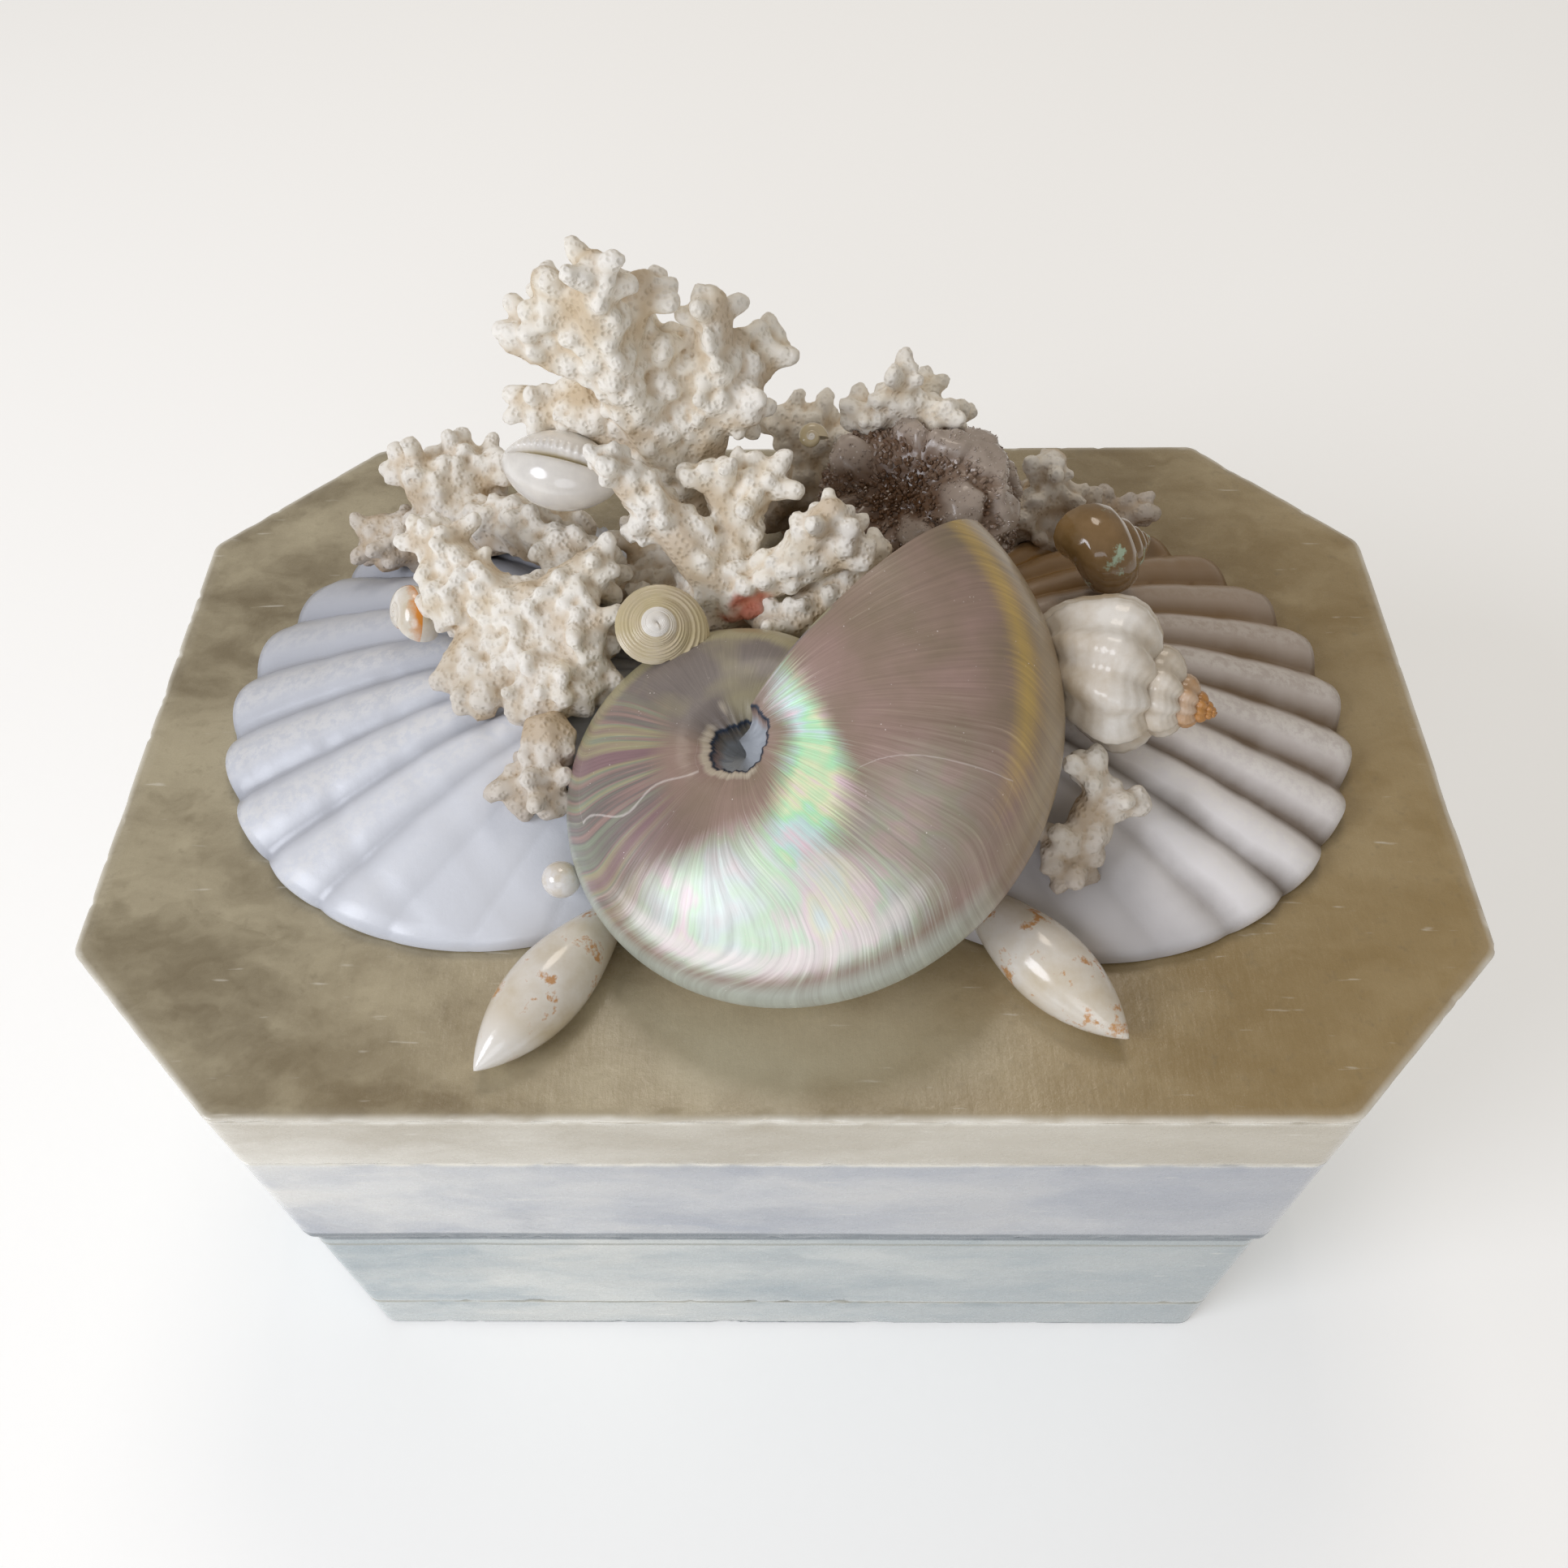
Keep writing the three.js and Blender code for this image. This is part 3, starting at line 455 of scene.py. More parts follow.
def veneer_material(name, base, dark, light, far_end_shade, wisp_size, gritty, lines=()):
    """Windowpane oyster laid in sheets under resin: cloudy, faintly fibrous and glossy like old varnish.

    far_end_shade tints the sheets towards the right: painted shade on the box's right side, on the top also
    its golden brown; gritty is how strongly dark grit shows. lines are level
    marks: height, half height, colour and strength.
    """
    own = bpy.context.scene.shellbox_veneer
    material, tree, shader, place = surface(name, Roughness=0.3, Coat_Weight=0.5, Coat_Roughness=0.12)
    patch = own.patch / MM
    skewed, fibres, scratches, level = (
        add(tree, "Mapping", {"Vector": place, "Scale": scale, "Rotation": (0.0, 0.0, turn)})
        for scale, turn in (((0.6, 1.0, 1.3), 0.35), ((1.0, 0.16, 1.0), 0.6), ((0.12, 1.0, 1.0), 1.1),
                            ((1.0, 1.0, 0.0), 0.0)))
    bent = add(tree, "TexNoise", {"Vector": place, "Scale": per(patch * 0.4), "Detail": 3.0}, out="Color")
    shifted = add(tree, "Mix", {0: 0.015, 4: skewed, 5: bent}, out=1, data_type="VECTOR")
    cloud, wisps, fine, fibre, scratch, waver = (
        add(tree, "TexNoise", {"Vector": at, "Scale": per(size), "Detail": detail, "Roughness": rough})
        for at, size, detail, rough in (
            (shifted, patch * 0.8, 7.0, 0.6), (shifted, wisp_size, 5.0, 0.55), (place, 3.0, 8.0, 0.7),
            (fibres, 3.2, 5.0, 0.6), (scratches, 1.6, 3.0, 0.5), (level, 40.0, 5.0, 0.5)))
    cells = add(tree, "TexVoronoi", {"Vector": shifted, "Scale": per(patch)}, out="Color")
    tone = lay(tree, dark, light, cloud, 0.36, 0.64)
    for paint, mask, low, high, cover in (
            (base, 0.35, 0.0, 1.0, 1.0), (light, wisps, 0.48, 0.7, 0.55), (dark, wisps, 0.46, 0.3, 0.5),
            (dark, add(tree, "SeparateColor", {"Color": cells}), 0.0, 1.0, 0.22),
            # Painted shade: darker towards the box's right side.
            (far_end_shade, add(tree, "SeparateXYZ", {"Vector": shifted}), -0.03, 0.12, 0.78),
            (dark, fine, 0.56, 0.78, gritty), (own.edge, scratch, 0.68, 0.74, 0.35),
            # Next the pale patch of painted sheen in front of the nautilus, then the raw edges.
            (light, "shine", 0.0, 1.0, 0.8), (own.edge, "edge", 0.0, 1.0, 1.0)):
        tone = lay(tree, tone, paint, mask, low, high, cover)
    height = add(tree, "SeparateXYZ", {"Vector": place}, out="Z")
    drift = add(tree, "MapRange", {"Value": waver, "To Min": -0.9 * MM, "To Max": 0.9 * MM})
    drifted = add(tree, "Math", {0: height, 1: drift}, operation="ADD")
    for middle, half, paint, strength in lines:
        gap = add(tree, "Math", {0: drifted, 1: middle * MM}, operation="SUBTRACT")
        gap = add(tree, "Math", {0: gap}, operation="ABSOLUTE")
        tone = lay(tree, tone, paint, gap, half * MM, half * 0.65 * MM, strength)
    relief = add(tree, "Math", {0: fine, 1: fibre}, operation="ADD")
    raised = add(tree, "Math", {0: cloud, 1: 3.0, 2: relief}, operation="MULTIPLY_ADD")
    bump = add(tree, "Bump", {"Height": raised, "Distance": 0.16 * MM, "Strength": 0.15 + gritty * 0.9})
    gloss = add(tree, "MapRange", {"Value": fine, "From Min": 0.3, "From Max": 0.8,
                                   "To Min": 0.2, "To Max": 0.4})
    wire(tree, shader, {"Base Color": tone, "Roughness": gloss, "Normal": bump, "Coat Normal": bump})
    return material


# Veneer sheets

def outline(inset, spacing=1.5):
    """The box's outline, drawn inset, as points about spacing apart, with round corners."""
    own = bpy.context.scene.shellbox_veneer

    def corners(by):
        x, y = HALF_LENGTH - by, HALF_WIDTH - by
        leg = own.corner / MM - by * (2 - math.sqrt(2))
        return np.array([[x, leg - y], [x, y - leg], [x - leg, y], [leg - x, y],
                         [-x, y - leg], [-x, leg - y], [leg - x, -y], [x - leg, -y]])

    whole, drawn = corners(0), corners(inset)
    reach = own.corner_radius / MM * math.tan(math.pi / 8)
    arc = np.linspace(0, 1, 7)[:, None]
    points = []
    for i, corner in enumerate(drawn):
        before, after = drawn[i - 1], drawn[(i + 1) % 8]
        enter = corner + (before - corner) / np.linalg.norm(before - corner) * reach
        leave = corner + (after - corner) / np.linalg.norm(after - corner) * reach
        points.append((1 - arc) ** 2 * enter + 2 * arc * (1 - arc) * corner + arc ** 2 * leave)
        next_enter = after + (corner - after) / np.linalg.norm(corner - after) * reach
        count = int(np.linalg.norm(whole[(i + 1) % 8] - whole[i]) / spacing)
        points.append(leave + np.linspace(0, 1, count + 1)[1:-1, None] * (next_enter - leave))
    return np.concatenate(points)


# How far the base stands back from the lid
BASE_STEP = 1.5


def chips(points, seed):
    """Depth of the small chips at points of an edge, from 0 to 1."""
    small = smooth(0.35, 1.0, noise(points, 2.6, 2, seed))
    return small + 0.35 * smooth(0.2, 0.9, noise(points, 9.0, 2, seed + 7))


def top_sheet(material):
    own = bpy.context.scene.shellbox_veneer
    thick = own.thickness / MM
    rings = []
    edges = []
    bottom = LID_TOP - thick
    for inset, z, edge in ((0.25, bottom, 0.6), (0.0, bottom + 0.3, 0.8), (0.05, LID_TOP - 0.35, 1.0),
                           (0.35, LID_TOP - 0.08, 1.0), (0.9, LID_TOP - 0.02, 0.55), (1.6, LID_TOP, 0.1)):
        ring = outline(inset)
        at = np.column_stack([ring, np.full(len(ring), z)])
        cut = chips(at, 3)[:, None] * own.chip / MM
        ring = ring * (1 - cut / np.linalg.norm(ring, axis=1)[:, None] * (1.0 if edge > 0.5 else 0.3))
        drop = cut[:, 0] * (0.7 if 0.9 > edge > 0.3 or edge == 1.0 else 0.0) * (z > bottom + 0.5)
        rings.append(np.column_stack([ring, np.full(len(ring), z) - drop]))
        edges.append(np.full(len(ring), edge) * (0.75 + 0.25 * noise(at, 5, 2, 11)))
    inner = outline(1.6)
    for factor in np.linspace(0.985, 0.015, 34):
        rings.append(np.column_stack([inner * factor, np.full(len(inner), LID_TOP)]))
        edges.append(np.zeros(len(inner)))
    points = np.concatenate(rings)
    inside = smooth(1.0, 8.0, HALF_WIDTH - np.abs(points[:, 1])) * (points[:, 2] > bottom + 0.6)
    wave = noise(points, 22, 3, 5) + 0.4 * noise(points, 7, 2, 6)
    points[:, 2] -= inside * own.waviness / MM * (1 + wave) * 0.5
    count = len(inner)
    faces = grid_faces(len(rings), count).tolist()
    under, crown = fan(count, back=True), fan(count, len(points) - count)
    # A pale patch in front of the nautilus is painted sheen: the light the glossy lid reflects there.
    x, y = points[:, 0] + 5, points[:, 1] + 84
    shine = np.exp(-(x / 40) ** 2 - (y / 14) ** 2 + 0.7 * noise(points, 14, 3, 13))
    piece = new_object("lid_top_sheet", points, faces + [under, crown], shine=np.clip(shine, 0, 1),
                       edge=np.clip(np.concatenate(edges), 0, 1))
    return settle(piece, material, "top_veneer", "lid_top_veneer")


def side_band(name, node, step, material, seed):
    """A ring of sheets round the box, its upper and lower edges worn and chipped."""
    own = bpy.context.scene.shellbox_veneer
    low, high = (corner.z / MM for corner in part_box(node))
    thick = own.thickness / MM
    levels = [(0.45, low, 0.9), (0.1, low + 0.22, 1.0), (0.0, low + 0.6, 0.35)]
    for z in np.linspace(low + 1.6, high - 1.6, max(3, int((high - low) / 3))):
        levels.append((0.0, z, 0.0))
    levels += [(0.0, high - 0.6, 0.4), (0.1, high - 0.22, 1.0), (0.45, high, 1.0), (thick, high, 0.7),
               (thick, low, 0.7)]
    rings = []
    edges = []
    for inset, z, edge in levels:
        ring = outline(step + inset)
        at = np.column_stack([ring, np.full(len(ring), z)])
        wave = own.waviness / MM * 0.6 * (1 + noise(at, 16, 3, seed)) if edge < 0.7 else 0.0
        cut = np.where(edge > 0.3, chips(at, seed) * own.chip / MM, 0.0) * (inset < thick)
        pull = (wave + cut) / np.linalg.norm(ring, axis=1)
        rings.append(np.column_stack([ring * (1 - pull[:, None]), at[:, 2]]))
        edges.append(np.clip(edge * (0.8 + 0.4 * noise(at, 5, 2, seed + 3)), 0, 1))
    count = len(rings[0])
    points = np.concatenate(rings)
    faces = grid_faces(len(rings), count).tolist()
    last = (len(rings) - 1) * count
    faces += [[last + j, last + (j + 1) % count, (j + 1) % count, j] for j in range(count)]
    piece = new_object(name, points, faces, sharp=60, edge=np.concatenate(edges))
    return settle(piece, material, "side_veneer", node)


# The nautilus

NAUTILUS_PLACE = np.array([-5.2, -33.6, 28 + LID_TOP])
NAUTILUS_TURN = np.array(Matrix.Rotation(math.radians(14.7), 3, "X")
                         @ Matrix.Rotation(math.radians(-10.7), 3, "Y"))
MOUTH = math.radians(45)
CHAMBER = math.radians(120)
SHOULDER = 0.36
POST_SIDES = 40
POST_REACH = 45.0
RIM_HEIGHT = 0.31


def whorl_radius(turn):
    own = bpy.context.scene.shellbox_nautilus
    return own.start_radius / MM * np.exp(own.growth * turn)


def hole_radius(turn):
    """The broken edge of the umbilicus, wider towards the front right."""
    own = bpy.context.scene.shellbox_nautilus
    ragged = 0.3 * np.sin(5 * turn + 1) + 0.2 * np.sin(13 * turn) + 0.12 * np.sin(29 * turn + 2)
    return own.umbilicus / MM + 0.8 * np.cos(turn - math.radians(290)) + ragged


def whorl_profile(turn, grow, wedge):
    """Half of the whorl's section at a turn: distance from the axis and height over the middle plane."""
    own = bpy.context.scene.shellbox_nautilus
    plain = whorl_radius(turn)
    r = plain + grow
    breadth = own.breadth * plain + grow
    rim = min(hole_radius(turn) - grow, r / 3)
    rim_height = RIM_HEIGHT * plain + grow
    shoulder = SHOULDER * r
    if wedge:
        half = [(0.0, rim_height)]
    else:
        floor = rim_height - 7.5
        half = [(0.0, floor)]
        half += [(rim * x, floor + (rim_height - floor) * x ** 5) for x in (0.3, 0.55, 0.75, 0.88)]
        half.append((rim * 0.96, rim_height - 0.5))
    for t in np.linspace(0, 1, 12):
        half.append((rim + (shoulder - rim) * t, breadth - (breadth - rim_height) * (1 - t) ** 2))
    for t in np.sin(np.linspace(0, math.pi / 2, 30)[1:]):
        half.append((shoulder + (r - shoulder) * t, breadth * max(0.0, 1 - t ** 2.3) ** 0.56))
    return np.array(half)


def whorl_object(name, start, end, grow, sections, wedge=False):
    columns = []
    for turn in np.linspace(start, end, sections):
        half = whorl_profile(turn, grow, wedge)
        x, z = np.concatenate([half * (1, -1), half[-2::-1]]).T
        columns.append(np.column_stack([x * math.cos(turn), x * math.sin(turn), z]))
    if wedge:
        columns.append(np.zeros_like(columns[0]))
    points = np.stack(columns, 1)
    rows, around = points.shape[:2]
    faces = grid_faces(rows, around)
    return new_object(name, points.reshape(-1, 3) @ NAUTILUS_TURN.T + NAUTILUS_PLACE, faces)


def carve(piece, *tools):
    """Cuts the tools out of the piece and takes the tools away."""
    for tool in tools:
        cut = piece.modifiers.new("cut", "BOOLEAN")
        cut.object = tool
        cut.operation = "DIFFERENCE"
        cut.solver = "MANIFOLD"
    apply_modifiers(piece)
    for tool in tools:
        bpy.data.objects.remove(tool)


def nautilus_shell():
    own = bpy.context.scene.shellbox_nautilus
    wall = own.wall / MM
    lip = MOUTH + TURN
    shell = whorl_object("nautilus_shell", MOUTH, lip, 0.0, 260)
    chamber = whorl_object("chamber", lip - CHAMBER, lip + 0.02, -wall, 80, wedge=True)
    before = whorl_object("before", lip - CHAMBER - TURN, lip + 0.02 - TURN, wall, 80, wedge=True)
    core_radius = own.umbilicus / MM + wall + 1.5
    ring = np.linspace(0, TURN, POST_SIDES, endpoint=False)
    post = [np.column_stack([core_radius * np.cos(ring), core_radius * np.sin(ring), 0 * ring + z])
            for z in (-POST_REACH, POST_REACH)]
    faces = grid_faces(2, POST_SIDES).tolist() + [fan(POST_SIDES), fan(POST_SIDES, POST_SIDES)]
    core = new_object("core", np.concatenate(post) @ NAUTILUS_TURN.T + NAUTILUS_PLACE, faces)
    carve(chamber, before, core)
    carve(shell, chamber)
    keep_largest(shell)
    tidy(shell.data)
    return shell


def nautilus_marks(mesh):
    """Where the nacre's colours, growth lines and scars lie, by the turn and the share of the radius."""
    local = (points_of(mesh) - NAUTILUS_PLACE) @ NAUTILUS_TURN
    r = np.hypot(local[:, 0], local[:, 1])
    grown = (np.arctan2(local[:, 1], local[:, 0]) - MOUTH) % TURN
    start = whorl_radius(MOUTH) + 0.3
    grown = np.where((grown > TURN - 0.004) & (r < start), 0.0, grown)
    grown = np.where((grown < 0.004) & (r > start), TURN, grown)
    s = np.clip(r / whorl_radius(MOUTH + grown), 0, 1.05)
    deg = np.degrees(MOUTH + grown)
    per_degree = math.pi / 180 * r
    rim = hole_radius(MOUTH + grown)
    away = (deg - 280) / np.where(deg > 280, 36, 46)
    lead = 21 * bell(deg, 288, 26) - 3
    ridge = 0.19 + 0.27 * (np.clip(380 - deg, 0, 90) / 80) ** 1.3
    # Where the painted iridescent sheen lies: a bright ridge near the umbilicus and a pale pool towards the
    # lower right.
    fire = bell(s, ridge, 0.06 + 0.08 * smooth(356, 318, deg))
    inner = 0.45 + 0.26 * away ** 2
    pool = smooth(inner - 0.16, inner + 0.12, s) * smooth(0.97, 0.88, s) * smooth(1.35, 0.5, np.abs(away))
    old = smooth(200, 140, deg)
    chalk = bell(r, rim + 1.2, 1.3) * smooth(120, 160, deg) * smooth(315, 290, deg)
    scar = deg - 217 + 18 * (s - 0.2) - 3.5 * np.cos((s - 0.61) / 0.19 * math.pi)
    crack = deg - 347 + 11 * np.exp(-np.clip(s - 0.46, 0, 1) / 0.07)
    line = deg - lead * smooth(0.25, 0.75, s) + 7 * smooth(0.78, 1.0, s) ** 2
    give(mesh, flow=np.column_stack([line, s * 10, local[:, 2]]), old=old, pool=pool, torn=r - rim,
         fire=fire * smooth(268, 306, deg) * (1 - 0.6 * smooth(350, 400, deg)),
         # band: where a painted highlight runs along the shoulder.
         band=bell(s, 0.885 - 0.035 * away ** 2, 0.04) * smooth(1.3, 0.7, np.abs(away)),
         rim=smooth(0.74, 0.88, s) * old,
         fan=smooth(140, 172, deg) * smooth(244, 214, deg) * smooth(0.3, 0.55, s),
         plum=bell(deg, 236, 30) * bell(s, 0.55, 0.2),
         sheen=bell(deg, 322, 26) * bell(s, 0.68, 0.2),
         gold=bell(s, 0.893, 0.036) * smooth(328, 368, deg),
         horn=smooth(0.9, 0.96, s) * smooth(318, 350, deg),
         glass=smooth(0.92, 0.985, s) * smooth(165, 215, deg) * smooth(342, 312, deg),
         chalk=chalk + 0.7 * bell(deg, 116, 7) * bell(s, 0.27, 0.07),
         scar=np.where((s > 0.22) & (s < 0.86), scar * per_degree, 9.0),
         crack=np.where((s > 0.45) & (s < 0.9), crack * per_degree, 9.0))


def nacre_material():
    """Nacre ground and polished off a nautilus: layered lime that breaks light into pastel streaks.

    The colours are laid on as they show in a soft light: the iridescent sheen, the highlight along the
    shoulder, the glints and the lighter lower right are painted in; their streaks follow the growth lines.
    """
    own = bpy.context.scene.shellbox_nautilus
    material, tree, shader, place = surface("polished_nacre", Roughness=0.34, Coat_Weight=0.25,
                                            Coat_Roughness=0.18)
    flow = add(tree, "Attribute", out="Vector", attribute_name="flow")
    streaks = add(tree, "Mapping", {"Vector": flow, "Scale": (1.0, 0.22, 0.0)})
    fine, hue, pleat, mist, patch, rare = (
        add(tree, "TexNoise", {"Vector": at, "Scale": scale, "Detail": detail, "Roughness": rough})
        for at, scale, detail, rough in (
            (streaks, 1.15, 4.0, 0.6), (streaks, 0.13, 4.0, 0.6), (streaks, 0.1, 3.0, 0.5),
            (place, per(16.0), 4.0, 0.5), (place, per(13.0), 2.0, 0.5), (place, per(5.0), 2.0, 0.5)))
    hue = add(tree, "Mix", {0: 0.6, 2: hue, 3: patch}, data_type="FLOAT")
    shift = add(tree, "MapRange", {"Value": fine, "From Min": 0.25, "From Max": 0.75,
                                   "To Min": -0.16, "To Max": 0.16})
    wheel, meadow, stripes = (
        add(tree, "ValToRGB", {"Fac": number}, out="Color", stops=stops) for number, stops in (
            (hue, ((0.32, own.pink), (0.42, own.cyan), (0.48, own.green), (0.54, own.pink), (0.6, own.lemon),
                   (0.68, own.cyan))),
            (hue, ((0.36, own.pink), (0.43, own.lemon), (0.5, own.green), (0.56, own.cyan),
                   (0.64, own.pink))),
            (pleat, ((0.36, own.moss), (0.43, own.slate), (0.47, own.rose), (0.51, own.moss),
                     (0.55, own.olive), (0.64, own.plum)))))
    pale = lay(tree, wheel, own.pearl, 0.62)
    bright = lay(tree, meadow, own.pearl, 0.3)
    aged = lay(tree, own.slate, own.olive, patch, 0.42, 0.62, 0.7)
    tone = lay(tree, own.mauve, own.rose, mist, 0.3, 0.7)
    # Among these layers the pool, fire, sheen and band masks paint light: iridescent sheen, light on the
    # lower right and the shoulder's highlight.
    for name, paint, low, high in (
            ("old", aged, 0.2, 0.9), ("fan", stripes, 0.1, 0.8), ("plum", own.plum, 0.1, 1.9),
            ("rim", own.olive, 0.25, 0.9), ("glass", own.glass, 0.2, 1.0), ("horn", own.horn, 0.1, 1.1),
            ("sheen", pale, 0.1, 3.0), ("gold", own.gold, 0.1, 0.95), ("pool", pale, 0.1, 1.0),
            ("fire", bright, 0.1, 0.75), ("band", own.pearl, 0.2, 1.1), ("chalk", own.chalk, 0.35, 0.9)):
        mask = add(tree, "Attribute", out="Fac", attribute_name=name)
        frayed = add(tree, "Math", {0: mask, 1: shift}, operation="ADD")
        tone = lay(tree, tone, paint, frayed, low, high)
    for number, least, most in ((fine, 0.86, 1.1), (mist, 0.9, 1.06)):
        shade = add(tree, "MapRange", {"Value": number, "From Min": 0.3, "From Max": 0.7,
                                       "To Min": least, "To Max": most})
        tone = add(tree, "Mix", {0: 1.0, 6: tone, 7: shade}, out=2, data_type="RGBA", blend_type="MULTIPLY")
    for name, half, strength in (("scar", 0.4, 0.45), ("crack", 0.2, 0.35)):
        line = add(tree, "Attribute", out="Fac", attribute_name=name)
        wander = add(tree, "Math", {0: line, 1: shift}, operation="ADD")
        gap = add(tree, "Math", {0: wander}, operation="ABSOLUTE")
        tone = lay(tree, tone, own.pearl, gap, half, 0.0, strength)
    torn = add(tree, "Attribute", out="Fac", attribute_name="torn")
    jag = add(tree, "Math", {0: shift, 1: 1.8, 2: torn}, operation="MULTIPLY_ADD")
    brink = add(tree, "Math", {0: jag}, operation="ABSOLUTE")
    # White specks scattered where the rare noise allows are painted glints.
    dust = add(tree, "TexVoronoi", {"Vector": place, "Scale": per(1.3)}, out="Distance")
    glint_spread = add(tree, "MapRange", {"Value": rare, "From Min": 0.55, "From Max": 0.7})
    tone = lay(tree, tone, own.inside, torn, -0.5, -1.4)
    tone = lay(tree, tone, own.navy, brink, 0.55, 0.15)
    tone = lay(tree, tone, own.pearl, dust, 0.12, 0.05, glint_spread)
    relief = add(tree, "Bump", {"Height": fine, "Distance": 0.16 * MM, "Strength": 0.5})
    wire(tree, shader, {"Base Color": tone, "Normal": relief})
    return material


def keep_largest(piece):
    """Drops the loose slivers that a cut can leave."""
    work = bmesh.new()
    work.from_mesh(piece.data)
    work.verts.ensure_lookup_table()
    seen = set()
    groups = []
    for start in work.verts:
        if start.index in seen:
            continue
        group = [start]
        seen.add(start.index)
        for vertex in group:
            for edge in vertex.link_edges:
                other = edge.other_vert(vertex)
                if other.index not in seen:
                    seen.add(other.index)
                    group.append(other)
        groups.append(group)
    groups.sort(key=len)
    for group in groups[:-1]:
        bmesh.ops.delete(work, geom=group, context="VERTS")
    work.to_mesh(piece.data)
    work.free()


# Scallop valves

# Side, centre, height, pitch and slimness of the ribs, and the angle of one valley, in millimetres
# and degrees
SCALLOPS = {
    "scallop_left": (-1, (-66.0, 3.0), 3.0, 9.63, 0.72, 0.4),
    "scallop_right": (1, (67.0, 0.0), 3.6, 8.7, 1.05, 1.8),
}
SCALLOP_SPAN = math.radians(68)
SCALLOP_GAP = 0.3


def scallop_valve(name, side, centre, rib_height, pitch, slim, valley):
    own = bpy.context.scene.shellbox_scallop
    rows, columns = 60, 225
    distance = own.umbo_distance / MM
    inwards = side * distance * math.cos(own.lean)
    umbo = np.array([centre[0] - inwards, centre[1] + distance * math.sin(own.lean)])
    heading = math.atan2(centre[1] - umbo[1], centre[0] - umbo[0])
    s = np.linspace(0, 1, rows)[:, None] ** 0.9
    alpha = np.linspace(-SCALLOP_SPAN, SCALLOP_SPAN, columns)[None, :]
    wave = np.abs(np.sin(math.pi * (alpha - math.radians(valley)) / math.radians(pitch)))
    front = side * alpha / SCALLOP_SPAN
    full = 0.14 + 0.86 * smooth(-0.66, -0.2, front)
    crest = wave ** slim * full + 0.6 * (1 - full)
    reach = distance * np.cos(alpha) + np.sqrt((own.radius / MM) ** 2 - (distance * np.sin(alpha)) ** 2)
    reach = reach + 0.85 * (2 * crest - 1)
    arch = np.sin(math.pi * s ** 0.75) * np.cos(alpha / SCALLOP_SPAN * math.radians(80)) ** 0.5
    x = umbo[0] + reach * s * np.cos(heading + alpha)
    y = umbo[1] + reach * s * np.sin(heading + alpha)
    flat = np.stack([x, y, np.zeros_like(x)], -1).reshape(-1, 3)
    radial = (s * reach).ravel()
    uneven = noise(flat, 24, 3, 21 + side).reshape(x.shape)
    lines = np.sin(radial * TURN / 2.6 + 2.2 * noise(flat, 12, 2, 33)).reshape(x.shape)
    steps = np.sin(radial * TURN / 17 + 1.2 * noise(flat, 30, 2, 39)).reshape(x.shape)
    grown = 0.35 * uneven + 0.05 * lines - 0.25 * smooth(0.4, 1.0, steps)
    height = own.dome / MM * arch + rib_height * s * crest + grown * smooth(0, 0.2, s)
    base = LID_TOP + SCALLOP_GAP
    turn_down = 0.9 * smooth(0.965, 1.0, s)
    top = base + own.edge / MM + np.maximum(height, 0.2) - turn_down
    under = base + np.maximum(0.0, own.dome / MM * arch + rib_height * s * (crest - 0.45) - 0.4)
    upper = np.stack([x, y, top], -1)
    lower = np.stack([x, y, np.minimum(under, top - 0.8)], -1)
    points = np.concatenate([upper.reshape(-1, 3), lower.reshape(-1, 3)])
    half = rows * columns
    faces = grid_faces(rows, columns, wrap=False).tolist()
    faces += (grid_faces(rows, columns, wrap=False)[:, ::-1] + half).tolist()
    border = list(range(columns)) + [i * columns + columns - 1 for i in range(1, rows)]
    border += [half - 1 - j for j in range(1, columns)] + [i * columns for i in range(rows - 2, 0, -1)]
    faces += [[a, b, b + half, a + half] for a, b in zip(border, border[1:] + border[:1])]
    ribs = np.tile((crest * np.ones_like(s)).ravel(), 2)
    back = np.tile((front * np.ones_like(s)).ravel(), 2)
    return new_object(name + "_valve", points, faces, sharp=70, rib=ribs, back=back)


def scallop_material(name, crest, valley, smooth_front, back_shade, frost):
    """Scallop lime: satin ribs with chalky crests, fine growth lines, and painted shade in the furrows and
    towards the back.
    """
    own = bpy.context.scene.shellbox_scallop
    material, tree, shader, place = surface(name, Coat_Weight=0.3, Coat_Roughness=0.28)
    rib, back = (add(tree, "Attribute", out="Fac", attribute_name=mark) for mark in ("rib", "back"))
    cloud = add(tree, "TexNoise", {"Vector": place, "Scale": per(14.0), "Detail": 5.0})
    grain = add(tree, "TexNoise", {"Vector": place, "Scale": per(2.2), "Detail": 6.0, "Roughness": 0.7})
    lift = add(tree, "MapRange", {"Value": cloud, "From Min": 0.3, "From Max": 0.7,
                                  "To Min": -0.12, "To Max": 0.12})
    risen = add(tree, "Math", {0: rib, 1: lift}, operation="ADD")
    # Painted shade: the valley colour darkens the furrows between the ribs.
    tone = lay(tree, valley, crest, risen, 0.0, 0.75)
    tone = lay(tree, tone, smooth_front, back, -0.45, -0.62, 0.85)
    # Painted shade towards the back of the valve.
    tone = lay(tree, tone, back_shade, back, -0.35, 0.5, 0.95)
    dust = frost
    for number, low, high in ((back, 0.4, 0.0), (grain, 0.42, 0.56), (rib, 0.7, 0.95)):
        dust = add(tree, "MapRange", {"Value": number, "From Min": low, "From Max": high, "To Max": dust})
    dull = add(tree, "MapRange", {"Value": dust, "To Min": 0.34, "To Max": 0.75})
    bump = add(tree, "Bump", {"Height": grain, "Distance": 0.15 * MM, "Strength": 0.5})
    wire(tree, shader, {"Base Color": lay(tree, tone, own.chalk, dust), "Roughness": dull, "Normal": bump})
    return material


# Small shells

